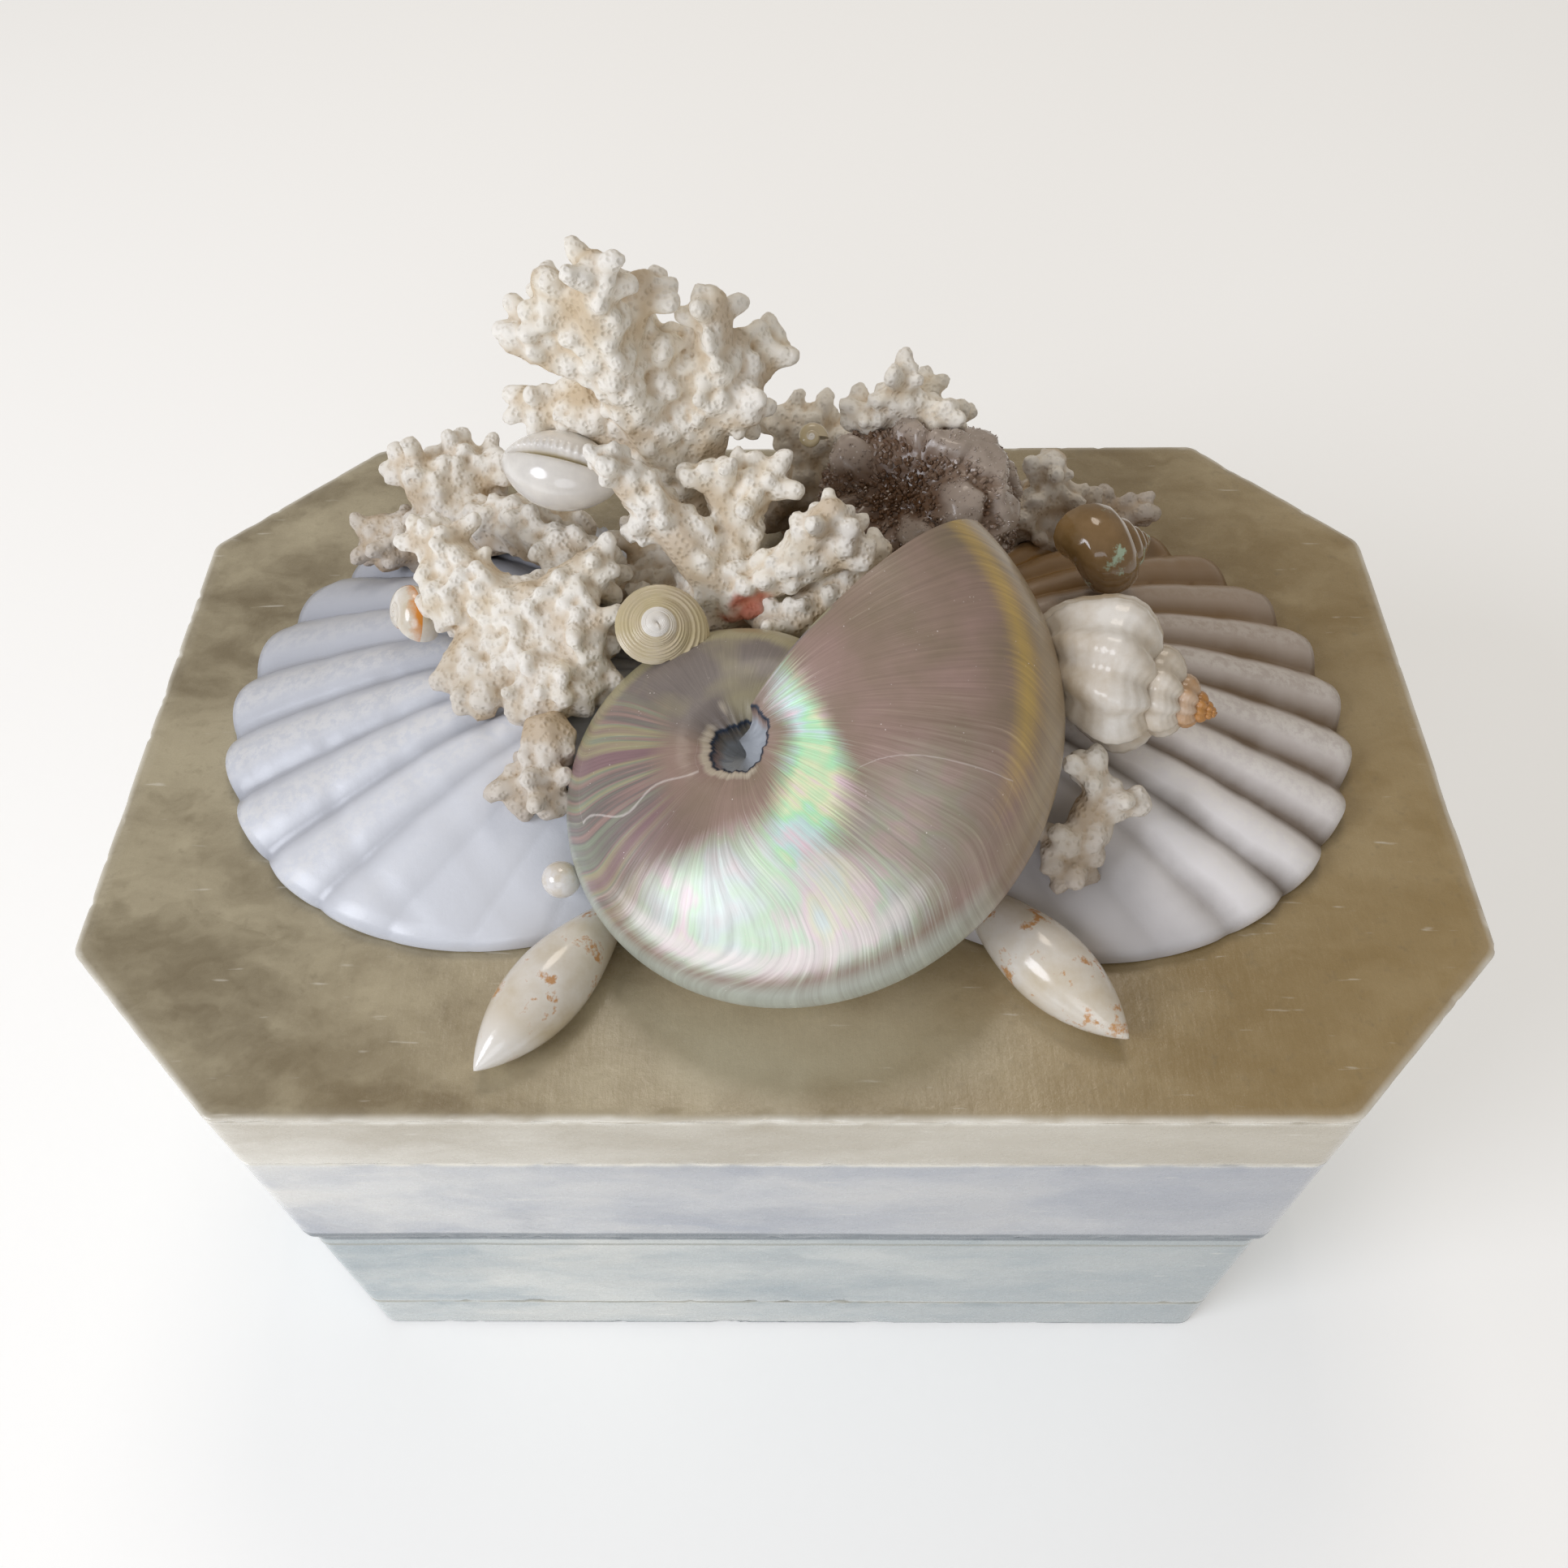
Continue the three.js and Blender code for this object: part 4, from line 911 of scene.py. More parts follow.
def revolve(rows, around, radius, height, axes, name, sharp=50, **values):
    """A closed form round an axis; radius and height are functions of t and the turn."""
    t = np.linspace(0, 1, rows)[:, None]
    turn = np.linspace(0, TURN, around, endpoint=False)[None, :]
    r = radius(t, turn) * np.ones_like(turn)
    r[0] = 0
    r[-1] = 0
    z = height(t, turn) * np.ones_like(turn)
    points = np.stack([r * np.cos(turn), r * np.sin(turn), z], -1).reshape(-1, 3)
    marks = {key: (value(t, turn) * np.ones_like(r)).ravel() for key, value in values.items()}
    return new_object(name, put(points, axes), grid_faces(rows, around), sharp=sharp, **marks)


OLIVES = {
    "olive_left": ((-60.8, -91.7, 5.0), (26.0, 37.6, 0.5)),
    "olive_right": ((70.2, -84.7, 5.0), (-26.6, 30.6, 0.5)),
}


def olive_shell(name, place, along):
    own = bpy.context.scene.shellbox_small

    def radius(t, turn):
        body = own.olive_radius / MM * np.sin(math.pi * t ** 0.84) * (1 - 0.1 * t)
        suture = 0.05 * bell(t, 0.86 + 0.02 * turn / TURN, 0.008)
        slit = 0.16 * bell(turn, 2.2, 0.09) * smooth(0.03, 0.12, t) * smooth(0.75, 0.6, t)
        return np.maximum(0.25, body * (1 - suture - slit))

    return revolve(110, 80, radius, lambda t, turn: own.olive_length / MM * t, axes_at(place, along),
                   name + "_shell", mark=lambda t, turn: t)


COWRIE = ((-63.5, 38.5, 49.5), (24.0, -8.0, 0.5))
COWRIE_TEETH = 17


def cowrie_shell():
    own = bpy.context.scene.shellbox_small

    def from_slit(t, turn):
        side = np.where(turn > math.pi, turn - TURN, turn)
        return side - 0.2 - 0.12 * np.sin(math.pi * t)

    def radius(t, turn):
        across = from_slit(t, turn)
        body = own.cowrie_radius / MM * np.sin(math.pi * t) ** 0.58 * (1 - 0.12 * np.cos(turn) ** 2)
        reach = smooth(0.03, 0.14, t) * smooth(0.97, 0.88, t)
        slit = bell(across, 0.0, 0.13) * reach
        teeth = (0.5 + 0.5 * np.sin(t * TURN * COWRIE_TEETH)) * bell(across, -0.24, 0.14) * reach
        return np.maximum(0.2, body - 3.2 * slit - 0.42 * teeth)

    def groove(t, turn):
        return bell(from_slit(t, turn), 0.0, 0.12) * smooth(0.03, 0.14, t)

    return revolve(150, 130, radius, lambda t, turn: own.cowrie_length / MM * t, axes_at(*COWRIE),
                   "cowrie_shell", mark=groove)


PEARL = ((-46, -52.5, 14), (0.3, -0.5, 0.8))


def pearl_bead():
    size = bpy.context.scene.shellbox_small.pearl_radius / MM
    return revolve(48, 64, lambda t, turn: size * np.sin(math.pi * t) * (1 + 0.02 * np.sin(2 * turn)),
                   lambda t, turn: -size * np.cos(math.pi * t) * (1 - 0.03 * np.sin(math.pi * t)),
                   axes_at(*PEARL), "pearl_bead")


# Coiled shells: the piece, its node, where the axis starts, where it points and the side of the mouth,
# and the sizes of the coil, in millimetres
COILS = (
    ("whelk_shell", "whelk", (90.5, -28.0, 38.0), (-31.0, 15.0, -1.5), (0, 1, -0.25), dict(
        whorls=6, growth=1.72, centre=7.8, drop=31.0, half_width=9.8, half_height=13.8, lean=0.25,
        ribs=9, rib=0.13, cords=24, cord=0.008, steps=56, around=104, shoulder=0.14)),
    ("top_shell_coil", "top_shell", (-25.4, -11.0, 48.5), (-0.1, 0.45, -0.9), (0.4, -1, 0), dict(
        whorls=4, growth=1.6, centre=6.2, drop=8.4, half_width=5.8, half_height=4.0,
        cords=28, cord=0.05, steps=34, around=160)),
    ("turban_shell_coil", "turban_shell", (86.0, 28.5, 33.5), (-1.0, -0.2, -0.25), (0, 0.6, 1), dict(
        whorls=5, growth=1.7, centre=6.0, drop=14.0, half_width=6.6, half_height=8.0,
        cords=14, cord=0.008)),
    ("moon_shell_coil", "moon_shell", (-88.5, 9.5, 30.0), (0.7, 0.3, -0.4), (0, -1, 0), dict(
        whorls=3, growth=2.2, centre=3.4, drop=5.4, half_width=5.0, half_height=5.0)),
    ("small_snail_coil", "small_snail", (7.0, 47.6, 48.0), (0.0, 0.6, -0.8), (1, 0, 0), dict(
        whorls=3, growth=2.0, centre=2.0, drop=2.2, half_width=2.1, half_height=1.9, steps=30, around=36)),
)


def coiled_shell(name, axes, whorls, growth, centre, drop, half_width, half_height, lean=0.0, ribs=0,
                 rib=0.0, cords=0, cord=0.0, steps=46, around=56, shoulder=0.0):
    """A tube coiled round its axis that grows by the same factor each turn; its mouth is hollow.

    centre, drop, half_width and half_height are those of its last section, and the spire's tip is at the
    frame's origin. The inner wall runs back from the mouth and closes.
    """
    outer = np.linspace(-TURN * whorls, 0, int(steps * whorls))
    inner = np.linspace(0, -TURN * 0.55, int(steps * 0.55))
    psi = np.linspace(0, TURN, around, endpoint=False)
    widen = np.cos(psi) + shoulder * bell(psi, TURN * 0.9, 0.5)
    rows = []
    grown = []
    for turns, wall in ((outer, 1.0), (inner, 0.84)):
        for theta in turns:
            scale = growth ** (theta / TURN)
            fade = 1.0 if wall == 1.0 else wall * (1 - (theta / inner[-1]) ** 4)
            swell = 1 + rib * np.cos(ribs * theta) * (0.4 + 0.6 * np.cos(psi - 0.3 - TURN * 0.9))
            swell = (swell + cord * np.cos(cords * psi) * (wall == 1.0)) * fade
            across, axial = half_width * widen * swell, half_height * np.sin(psi) * swell
            tilted = across * math.cos(lean) - axial * math.sin(lean)
            lifted = across * math.sin(lean) + axial * math.cos(lean)
            r = np.maximum(0.0, (centre + tilted) * scale)
            rows.append(np.column_stack([r * math.cos(theta), r * math.sin(theta), (drop + lifted) * scale]))
            grown.append(np.full(around, scale))
    points = np.concatenate([rows[0].mean(0, keepdims=True).repeat(around, 0)] + rows)
    return new_object(name, put(points, axes), grid_faces(len(rows) + 1, around), sharp=75,
                      grown=np.concatenate([grown[0]] + grown), psi=np.tile(psi / TURN, len(rows) + 1))


def shell_material(name, base, shade, grain, roughness=0.2, blotch=None, blotch_size=8.0, rare=0.6,
                   mark=None, mark_tone=None, low=0.0, high=1.0):
    """Small sea shell: porcelain-like lime, clouded, glossy, with the growth lines and blotches of its kind.

    mark names the numbers that mark_tone follows, from low to high.
    """
    material, tree, shader, place = surface(name, Roughness=roughness, Coat_Weight=0.5, Coat_Roughness=0.08)
    cloud, spots, thin = (
        add(tree, "TexNoise", {"Vector": place, "Scale": per(size), "Detail": detail, "Roughness": rough})
        for size, detail, rough in ((grain, 6.0, 0.6), (blotch_size, 5.0, 0.7), (1.4, 4.0, 0.5)))
    tone = lay(tree, base, shade, cloud, 0.38, 0.66)
    if blotch:
        tone = lay(tree, tone, blotch, spots, rare, rare + 0.06, 0.85)
    if mark:
        number = add(tree, "Attribute", out="Fac", attribute_name=mark)
        frayed = add(tree, "MapRange", {"Value": cloud, "From Min": 0.3, "From Max": 0.7,
                                        "To Min": -0.08, "To Max": 0.08})
        where = add(tree, "Math", {0: number, 1: frayed}, operation="ADD")
        tone = lay(tree, tone, mark_tone, where, low, high)
    bump = add(tree, "Bump", {"Height": thin, "Distance": 0.08 * MM, "Strength": 0.35})
    wire(tree, shader, {"Base Color": tone, "Normal": bump})
    return material


# The geode

GEODE_PLACE = np.array([32.0, 38.0, 34.0 + LID_TOP])
GEODE_TURN = math.radians(-8)
GEODE_HOLLOW = (np.array([-9.0, -9.0, 17.0]), 14.0)
GEODE_LOBES = (
    ((6.0, 4.0, 17.0), 4.5), ((15.0, 2.0, 14.5), 5.5), ((9.0, -9.0, 11.0), 5.5), ((18.0, -7.0, 8.0), 4.8),
    ((-3.0, 8.0, 16.0), 4.2), ((-16.0, 2.0, 12.0), 4.6), ((19.0, 4.0, 6.0), 5.0), ((1.0, -14.0, 5.0), 4.6),
    ((-17.0, -8.0, 6.0), 5.0), ((12.0, 9.0, 12.0), 4.4),
)


def geode_surface(direction):
    """Points of the geode's skin in these directions from its middle, how hollow and how swollen each is."""
    own = bpy.context.scene.shellbox_geode
    squared = direction / np.abs(direction).max(1, keepdims=True) ** 0.35
    half = np.array([own.length, own.depth, own.height]) / MM / 2.2
    points = squared * half * (1 + 0.07 * noise(direction * 10, 6, 3, 51))[:, None]
    swollen = np.zeros(len(points))
    ragged = 1.8 * noise(points, 4.5, 2, 63)
    for centre, reach in GEODE_LOBES:
        near = np.exp(-((np.linalg.norm(points - centre, axis=1) + ragged) / reach) ** 6)
        swollen = np.maximum(swollen, near)
    points = points + direction * (swollen * 2.6)[:, None]
    centre, reach = GEODE_HOLLOW
    near = np.exp(-(np.linalg.norm((points - centre) * (0.8, 1.1, 1.0), axis=1) / reach) ** 4)
    return points - direction * (near * 9.0)[:, None], near, swollen


def geode_lump():
    """The lump's skin with some thousand small six-sided crystals grown out of it."""
    own = bpy.context.scene.shellbox_geode
    rows, around = 96, 150
    polar = np.linspace(0, math.pi, rows)[:, None]
    turn = np.linspace(0, TURN, around, endpoint=False)[None, :]
    direction = np.stack([np.sin(polar) * np.cos(turn), np.sin(polar) * np.sin(turn),
                          np.cos(polar) * np.ones_like(turn)], -1).reshape(-1, 3)
    points, hollow, swollen = geode_surface(direction)
    points = points + direction * (0.3 * noise(points, 2.4, 2, 57))[:, None]
    sets = [points]
    marks = [np.column_stack([hollow, swollen, np.zeros(len(points))])]
    faces = grid_faces(rows, around).tolist()
    rng = np.random.default_rng(5)
    aim = rng.normal(size=(4200, 3))
    aim /= np.linalg.norm(aim, axis=1)[:, None]
    aim = aim[aim[:, 2] - 0.35 * aim[:, 1] > -0.1]
    start = len(points)
    sides = 6
    ring = np.linspace(0, TURN, sides, endpoint=False)
    seats, deeps, swells = geode_surface(aim)
    for place, up, deep, swell in zip(seats, aim, deeps, swells):
        tall = own.crystal / MM * rng.uniform(0.5, 1.3) * (1 - 0.7 * swell)
        wide = tall * rng.uniform(0.35, 0.5)
        axis = up + rng.normal(scale=0.5, size=3)
        axis /= np.linalg.norm(axis)
        side = np.cross(axis, (0.31, 0.17, 0.93))
        side /= np.linalg.norm(side)
        rim = wide * (np.cos(ring)[:, None] * side + np.sin(ring)[:, None] * np.cross(axis, side))
        tip, root = place + axis * tall, place - axis * 0.6
        sets.append(np.concatenate([place - axis * 0.5 + rim, place + axis * tall * 0.5 + rim, [tip, root]]))
        marks.append(np.tile((deep, swell, rng.uniform(0.2, 1.0)), (2 * sides + 2, 1)))
        for k in range(sides):
            n = (k + 1) % sides
            faces.append([start + k, start + n, start + sides + n, start + sides + k])
            faces.append([start + sides + k, start + sides + n, start + 2 * sides])
            faces.append([start + n, start + k, start + 2 * sides + 1])
        start += 2 * sides + 2
    turned = np.concatenate(sets) @ np.array(Matrix.Rotation(-GEODE_TURN, 3, "Z")) + GEODE_PLACE
    hollow, swell, facet = np.concatenate(marks).T
    return new_object("geode_lump", turned, faces, sharp=28, hollow=hollow, swell=swell, facet=facet)


def druzy_material():
    """Druzy quartz: a brown lump under grey-mauve crystals, their faces lit by painted glints, the hollow
    darkened by painted shade over its brown.
    """
    own = bpy.context.scene.shellbox_geode
    material, tree, shader, place = surface("druzy_quartz", Roughness=0.3, Coat_Weight=0.2,
                                            Coat_Roughness=0.1)
    cloud = add(tree, "TexNoise", {"Vector": place, "Scale": per(7.0), "Detail": 4.0})
    grit = add(tree, "TexVoronoi", {"Vector": place, "Scale": per(1.5)}, out="Distance")
    tone = lay(tree, own.rind, own.mauve, cloud, 0.36, 0.64)
    # The last layer paints glints on the crystals.
    for paint, mask, low, high, cover in (
            (own.clear, "swell", 0.1, 0.8, 0.85), (own.clear, "facet", 0.75, 1.0, 0.6),
            (own.hollow, "hollow", 0.0, 1.0, 0.92), (own.glint, grit, 0.16, 0.05, 0.45)):
        tone = lay(tree, tone, paint, mask, low, high, cover)
    bump = add(tree, "Bump", {"Height": grit, "Distance": 0.15 * MM, "Strength": 0.4})
    wire(tree, shader, {"Base Color": tone, "Normal": bump})
    return material


# Corals: each fork is a hub and its tips, in millimetres above the lid

CORALS = {
    "coral_tall": {
        "root": (-22, 40, 44), "foot": (-20, 46, 2), "waist": 8.5, "tip": 4.6, "seed": 3,
        "forks": [
            [(-36, 38, 75), (-36, 35, 101), (-47, 40, 94), (-56, 40, 81), (-28, 42, 92)],
            [(-15, 40, 64), (-14, 43, 87), (-1, 49, 71), (-7, 36, 64)],
            [(-44, 45, 59), (-58, 47, 58)],
            [(-24, 41, 60), (-26, 41, 78), (-18, 41, 72)],
        ],
    },
    "coral_front": {
        "root": (-11, 9, 34), "foot": (-11, 12, 2), "waist": 7, "tip": 4.6, "seed": 11,
        "forks": [
            [(-24, 17, 50), (-37, 22, 63), (-30, 19, 47)],
            [(-10, 20, 46), (-15, 25, 57), (-2, 25, 57)],
            [(2, 9, 44), (11, 10, 59), (15, 8, 51)],
            [(-26, 22, 22), (-38, 28, 22), (-35, 38, 26), (-24, 36, 30)],
            [(-24, 10, 26), (-35, 11, 27), (-39, 19, 24)],
        ],
        "stain": (-6.5, 1, 37),
    },
    "coral_left_back": {
        "root": (-76, 47, 21), "waist": 9, "tip": 5.2, "seed": 23,
        "forks": [
            [(-87, 52, 28), (-92, 56, 32), (-79, 61, 32)],
            [(-92, 46, 18), (-103, 47, 19), (-99, 42, 15)],
            [(-66, 40, 28), (-58, 36, 33), (-50, 26, 32)],
            [(-78, 54, 26), (-84, 63, 29), (-70, 58, 30)],
            [(-62, 46, 24), (-54, 48, 26), (-48, 38, 28)],
        ],
    },
    "coral_left_front": {
        "root": (-60, 5, 32), "waist": 8.5, "tip": 5, "seed": 31,
        "forks": [
            [(-70, 13, 37), (-80, 22, 42), (-77, 8, 34)],
            [(-50, 6, 37), (-40, 12, 43), (-41, -3, 36)],
            [(-58, -2, 30), (-62, -8, 28), (-51, -11, 31)],
            [(-48, -3, 29), (-43, -9, 30), (-49, -16, 27), (-57, -15, 26)],
            [(-68, 0, 27), (-74, -6, 25), (-66, -13, 24)],
            [(-50, 16, 28), (-43, 25, 29), (-40, 17, 33)],
            [(-48, -2, 27), (-40, 2, 27), (-40, -7, 27), (-44, -14, 26)],
        ],
    },
    "coral_left_low": {
        "root": (-50, -24, 25), "waist": 7, "tip": 5, "seed": 41,
        "forks": [[(-52, -28, 21), (-56, -34, 19), (-49, -37, 20)]],
    },
    "coral_notch": {
        "root": (9, 7, 36), "foot": (8, 12, 3), "waist": 5.5, "tip": 3.8, "seed": 47,
        "forks": [[(3, 2, 34), (-4, 2, 34)], [(14, 6, 39), (22, 14, 44)]],
    },
    "coral_back_ridge": {
        "root": (8, 64, 22), "foot": (7, 66, 4), "waist": 7.5, "tip": 4.6, "seed": 53,
        "forks": [[(6, 66, 28), (-1, 68, 37), (9, 68, 38), (16, 66, 33)]],
    },
    "coral_back_peak": {
        "root": (28, 57, 36), "foot": (27, 60, 3), "waist": 7, "tip": 4.2, "seed": 57,
        "forks": [
            [(28, 56, 43), (19, 54, 49), (28, 56, 58), (38, 52, 51)],
            [(33, 61, 40), (42, 62, 42), (34, 66, 47)],
        ],
    },
    "coral_back_right": {
        "root": (65, 56, 13), "foot": (62, 60, 4), "waist": 7.5, "tip": 4.6, "seed": 61,
        "forks": [[(65, 56, 20), (67, 60, 29), (75, 58, 18), (58, 50, 21)], [(80, 60, 12), (92, 60, 12)]],
    },
    "coral_right_small": {
        "root": (65, -42, 23), "waist": 5, "tip": 3.6, "seed": 71,
        "forks": [
            [(66, -40, 26), (65, -35, 31), (72, -41, 24)],
            [(62, -46, 19), (61, -51, 14), (57, -47, 18)],
        ],
    },
}


CORAL_GAP = 0.4
FOOT_SHOOTS = 6
TIP_LOBES = 5
LOBE_TWIGS = 4
KNOB_AREA = 34


def ball(detail):
    """Points and faces of a unit ball."""
    work = bmesh.new()
    bmesh.ops.create_icosphere(work, subdivisions=detail, radius=1.0)
    points = np.array([v.co[:] for v in work.verts])
    faces = np.array([[v.index for v in face.verts] for face in work.faces])
    work.free()
    return points, faces


def limb(balls, start, end, start_radius, end_radius, sag, rng):
    """A chain of overlapping balls from one point to another, with a slight bend."""
    start, end = np.array(start, float), np.array(end, float)
    span = np.linalg.norm(end - start)
    count = max(2, int(span / (0.45 * max(end_radius, 0.8))))
    bend = rng.normal(scale=sag, size=3) * span
    for t in np.linspace(0, 1, count):
        centre = start + (end - start) * t + bend * math.sin(math.pi * t)
        radius = start_radius + (end_radius - start_radius) * t
        balls.append((*centre, radius * rng.uniform(0.93, 1.07)))


def unit(vector):
    return vector / np.linalg.norm(vector)


def coral_balls(plan, knob, rng):
    """The balls that a coral is merged from, and the ends of its knobs."""
    balls = []
    tips = []
    arms = []
    ends_of_knobs = []
    waist, tip = plan["waist"], plan["tip"]
    root = np.array(plan["root"], float)
    if "foot" in plan:
        foot = np.array(plan["foot"], float)
        limb(balls, foot, root, waist * 1.15, waist * 0.95, 0.0, rng)
        arms.append((foot, root, waist, waist))
        for k in range(FOOT_SHOOTS):
            around = k * TURN / FOOT_SHOOTS + rng.uniform(-0.4, 0.4)
            out = np.array([math.cos(around), math.sin(around), 0.0])
            seat = foot + (root - foot) * rng.uniform(0.0, 0.8)
            end = seat + out * waist * rng.uniform(1.2, 1.6) + (0, 0, rng.uniform(0, 4))
            limb(balls, seat, end, waist * 0.7, knob * 1.3, 0.05, rng)
            tips.append((seat, end, tip * 0.8))
    inner = waist * 0.75
    for fork in plan["forks"]:
        hub, *ends = np.array(fork, float)
        limb(balls, root, hub, waist * 0.95, waist * 0.78, 0.02, rng)
        arms.append((root, hub, waist * 0.95, inner))
        for k, end in enumerate(ends):
            limb(balls, hub, end, inner, tip * 0.8, 0.03, rng)
            arms.append((hub, end, inner, tip * 0.8))
            tips.append((hub, end, tip))
            for other in ends[k + 1:k + 2]:
                web = hub + (end - hub) * 0.4 + (other - hub) * 0.4
                limb(balls, hub, web, inner * 0.85, tip * 0.7, 0.0, rng)
                across = hub + (end - hub) * 0.6, hub + (other - hub) * 0.6
                limb(balls, *across, tip * 0.75, tip * 0.75, 0.0, rng)
                arms.append((hub, web, inner * 0.85, tip * 0.7))
    lobes = []
    for hub, end, tip in tips:
        along = unit(end - hub)
        base = end - along * tip
        for _ in range(TIP_LOBES):
            aim = unit(along * 0.9 + rng.normal(scale=0.55, size=3))
            lobe = base + aim * tip * rng.uniform(1.2, 2.0)
            limb(balls, base, lobe, tip * 0.62, knob * 1.3, 0.04, rng)
            lobes.append((lobe, aim))
    for lobe, aim in lobes:
        ends_of_knobs.append(lobe)
        for _ in range(LOBE_TWIGS):
            twig = unit(aim + rng.normal(scale=0.7, size=3))
            end = lobe + twig * knob * rng.uniform(0.3, 0.9)
            limb(balls, lobe, end, knob, knob * rng.uniform(0.7, 0.95), 0.0, rng)
            ends_of_knobs.append(end)
    for start, end, wide, narrow in arms:
        span = np.linalg.norm(end - start)
        along = (end - start) / max(span, 1e-6)
        ridges = rng.normal(size=(3, 3)) + (0, -0.3, 0.5)
        for k in range(int(span * TURN * (wide + narrow) / 2 / KNOB_AREA)):
            t = rng.uniform()
            out = ridges[k % 3] + rng.normal(scale=0.45, size=3)
            out = unit(out - along * (out @ along))
            seat = start + along * span * t + out * (wide + (narrow - wide) * t) * 0.8
            lift = unit(out + along * rng.uniform(0.1, 1.0) + np.array([0, 0, 0.3]))
            end_of_knob = seat + lift * knob * rng.uniform(0.3, 1.2)
            limb(balls, seat, end_of_knob, knob * 1.2, knob * rng.uniform(0.85, 1.1), 0.0, rng)
            ends_of_knobs.append(end_of_knob)
    return np.array(balls), ends_of_knobs


def coral_piece(name, plan):
    """The balls merged to one skin, roughened, with the numbers that its material reads."""
    own = bpy.context.scene.shellbox_coral
    balls, ends_of_knobs = coral_balls(plan, own.knob / MM, np.random.default_rng(plan["seed"]))
    round_points, round_faces = ball(1)
    lid = np.array([0, 0, LID_TOP])
    low = LID_TOP + CORAL_GAP
    points = (balls[:, None, :3] + lid) + round_points[None] * balls[:, None, 3:] * 1.04
    points[..., 2] = np.maximum(points[..., 2], low)
    shifts = np.arange(len(balls))[:, None, None] * len(round_points)
    mesh = bpy.data.meshes.new(name + "_branch")
    mesh.from_pydata((points.reshape(-1, 3) * MM).tolist(), [],
                     (round_faces[None] + shifts).reshape(-1, 3).tolist())
    piece = bpy.data.objects.new(name + "_branch", mesh)
    bpy.context.scene.collection.objects.link(piece)
    remesh = piece.modifiers.new("skin", "REMESH")
    remesh.mode = "VOXEL"
    remesh.voxel_size = own.voxel
    relax = piece.modifiers.new("relax", "SMOOTH")
    relax.factor = 0.5
    relax.iterations = 4
    apply_modifiers(piece)
    mesh = piece.data
    skin = points_of(mesh)
    normals = np.empty(len(mesh.vertices) * 3)
    mesh.vertices.foreach_get("normal", normals)
    skin += normals.reshape(-1, 3) * (0.14 * noise(skin, 2.2, 2, plan["seed"]))[:, None]
    skin[:, 2] = np.maximum(skin[:, 2], low)
    mesh.vertices.foreach_set("co", (skin * MM).ravel())
    tree = kdtree.KDTree(len(ends_of_knobs))
    for k, spot in enumerate(ends_of_knobs):
        tree.insert(Vector(spot + lid), k)
    tree.balance()
    far = np.array([tree.find(p)[2] for p in skin.tolist()])
    rust = 0.0
    if "stain" in plan:
        off = np.linalg.norm(skin - lid - plan["stain"], axis=1)
        rust = smooth(7.5, 3.0, off + 2.5 * noise(skin, 3, 2, 5))
    # core and high carry where painted shade darkens the coral: away from the knobs and low down.
    give(mesh, rust=rust + np.zeros(len(skin)), bright=bell(far, 0.0, 2.4), core=smooth(1.4, 4.2, far),
         high=(skin[:, 2] - LID_TOP) / 100)
    mesh.polygons.foreach_set("use_smooth", [True] * len(mesh.polygons))
    mesh.update()
    return piece


def coral_material():
    """Bleached coral skeleton: matte white lime with a net of small pits; painted shade makes it tan in the
    pits, the creases and the bodies away from the knobs, and brown low down.
    """
    own = bpy.context.scene.shellbox_coral
    material, tree, shader, place = surface("bleached_coral", Roughness=0.75)
    point = add(tree, "NewGeometry", out="Pointiness")
    cloud = add(tree, "TexNoise", {"Vector": place, "Scale": per(14.0), "Detail": 3.0})
    pits = add(tree, "TexVoronoi", {"Vector": place, "Scale": per(own.pit / MM)}, out="Distance")
    bright = add(tree, "Attribute", out="Fac", attribute_name="bright")
    bare = add(tree, "MapRange", {"Value": bright, "To Min": 0.34, "To Max": 0.0})
    tone = lay(tree, own.cream, own.white, cloud, 0.4, 0.6)
    for paint, mask, low, high, cover in (
            # Painted shade: tan away from the knobs, in the creases and in the pits; brown low down.
            (own.tan, "core", 0.0, 1.0, 0.65), (own.white, bright, 0.0, 1.0, 1.0),
            (own.tan, point, 0.505, 0.42, 0.85), (own.brown, "high", 0.36, 0.03, 0.85),
            (own.tan, pits, 0.5, 0.1, bare), (own.rust, "rust", 0.0, 1.0, 0.85)):
        tone = lay(tree, tone, paint, mask, low, high, cover)
    pit = add(tree, "MapRange", {"Value": pits, "From Min": 0.1, "From Max": 0.5})
    bump = add(tree, "Bump", {"Height": pit, "Distance": 0.4 * MM, "Strength": 0.7})
    wire(tree, shader, {"Base Color": tone, "Normal": bump})
    return material


# Operators

class SHELLBOX_OT_board(bpy.types.Operator):
    """Give the box's boards their wood"""
    bl_idname = "shellbox.board"
    bl_label = "Boards"

    def execute(self, context):
        material = board_material()
        for node in ("base_box", "lid"):
            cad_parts[node].data.materials.clear()
            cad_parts[node].data.materials.append(material)
        return {"FINISHED"}


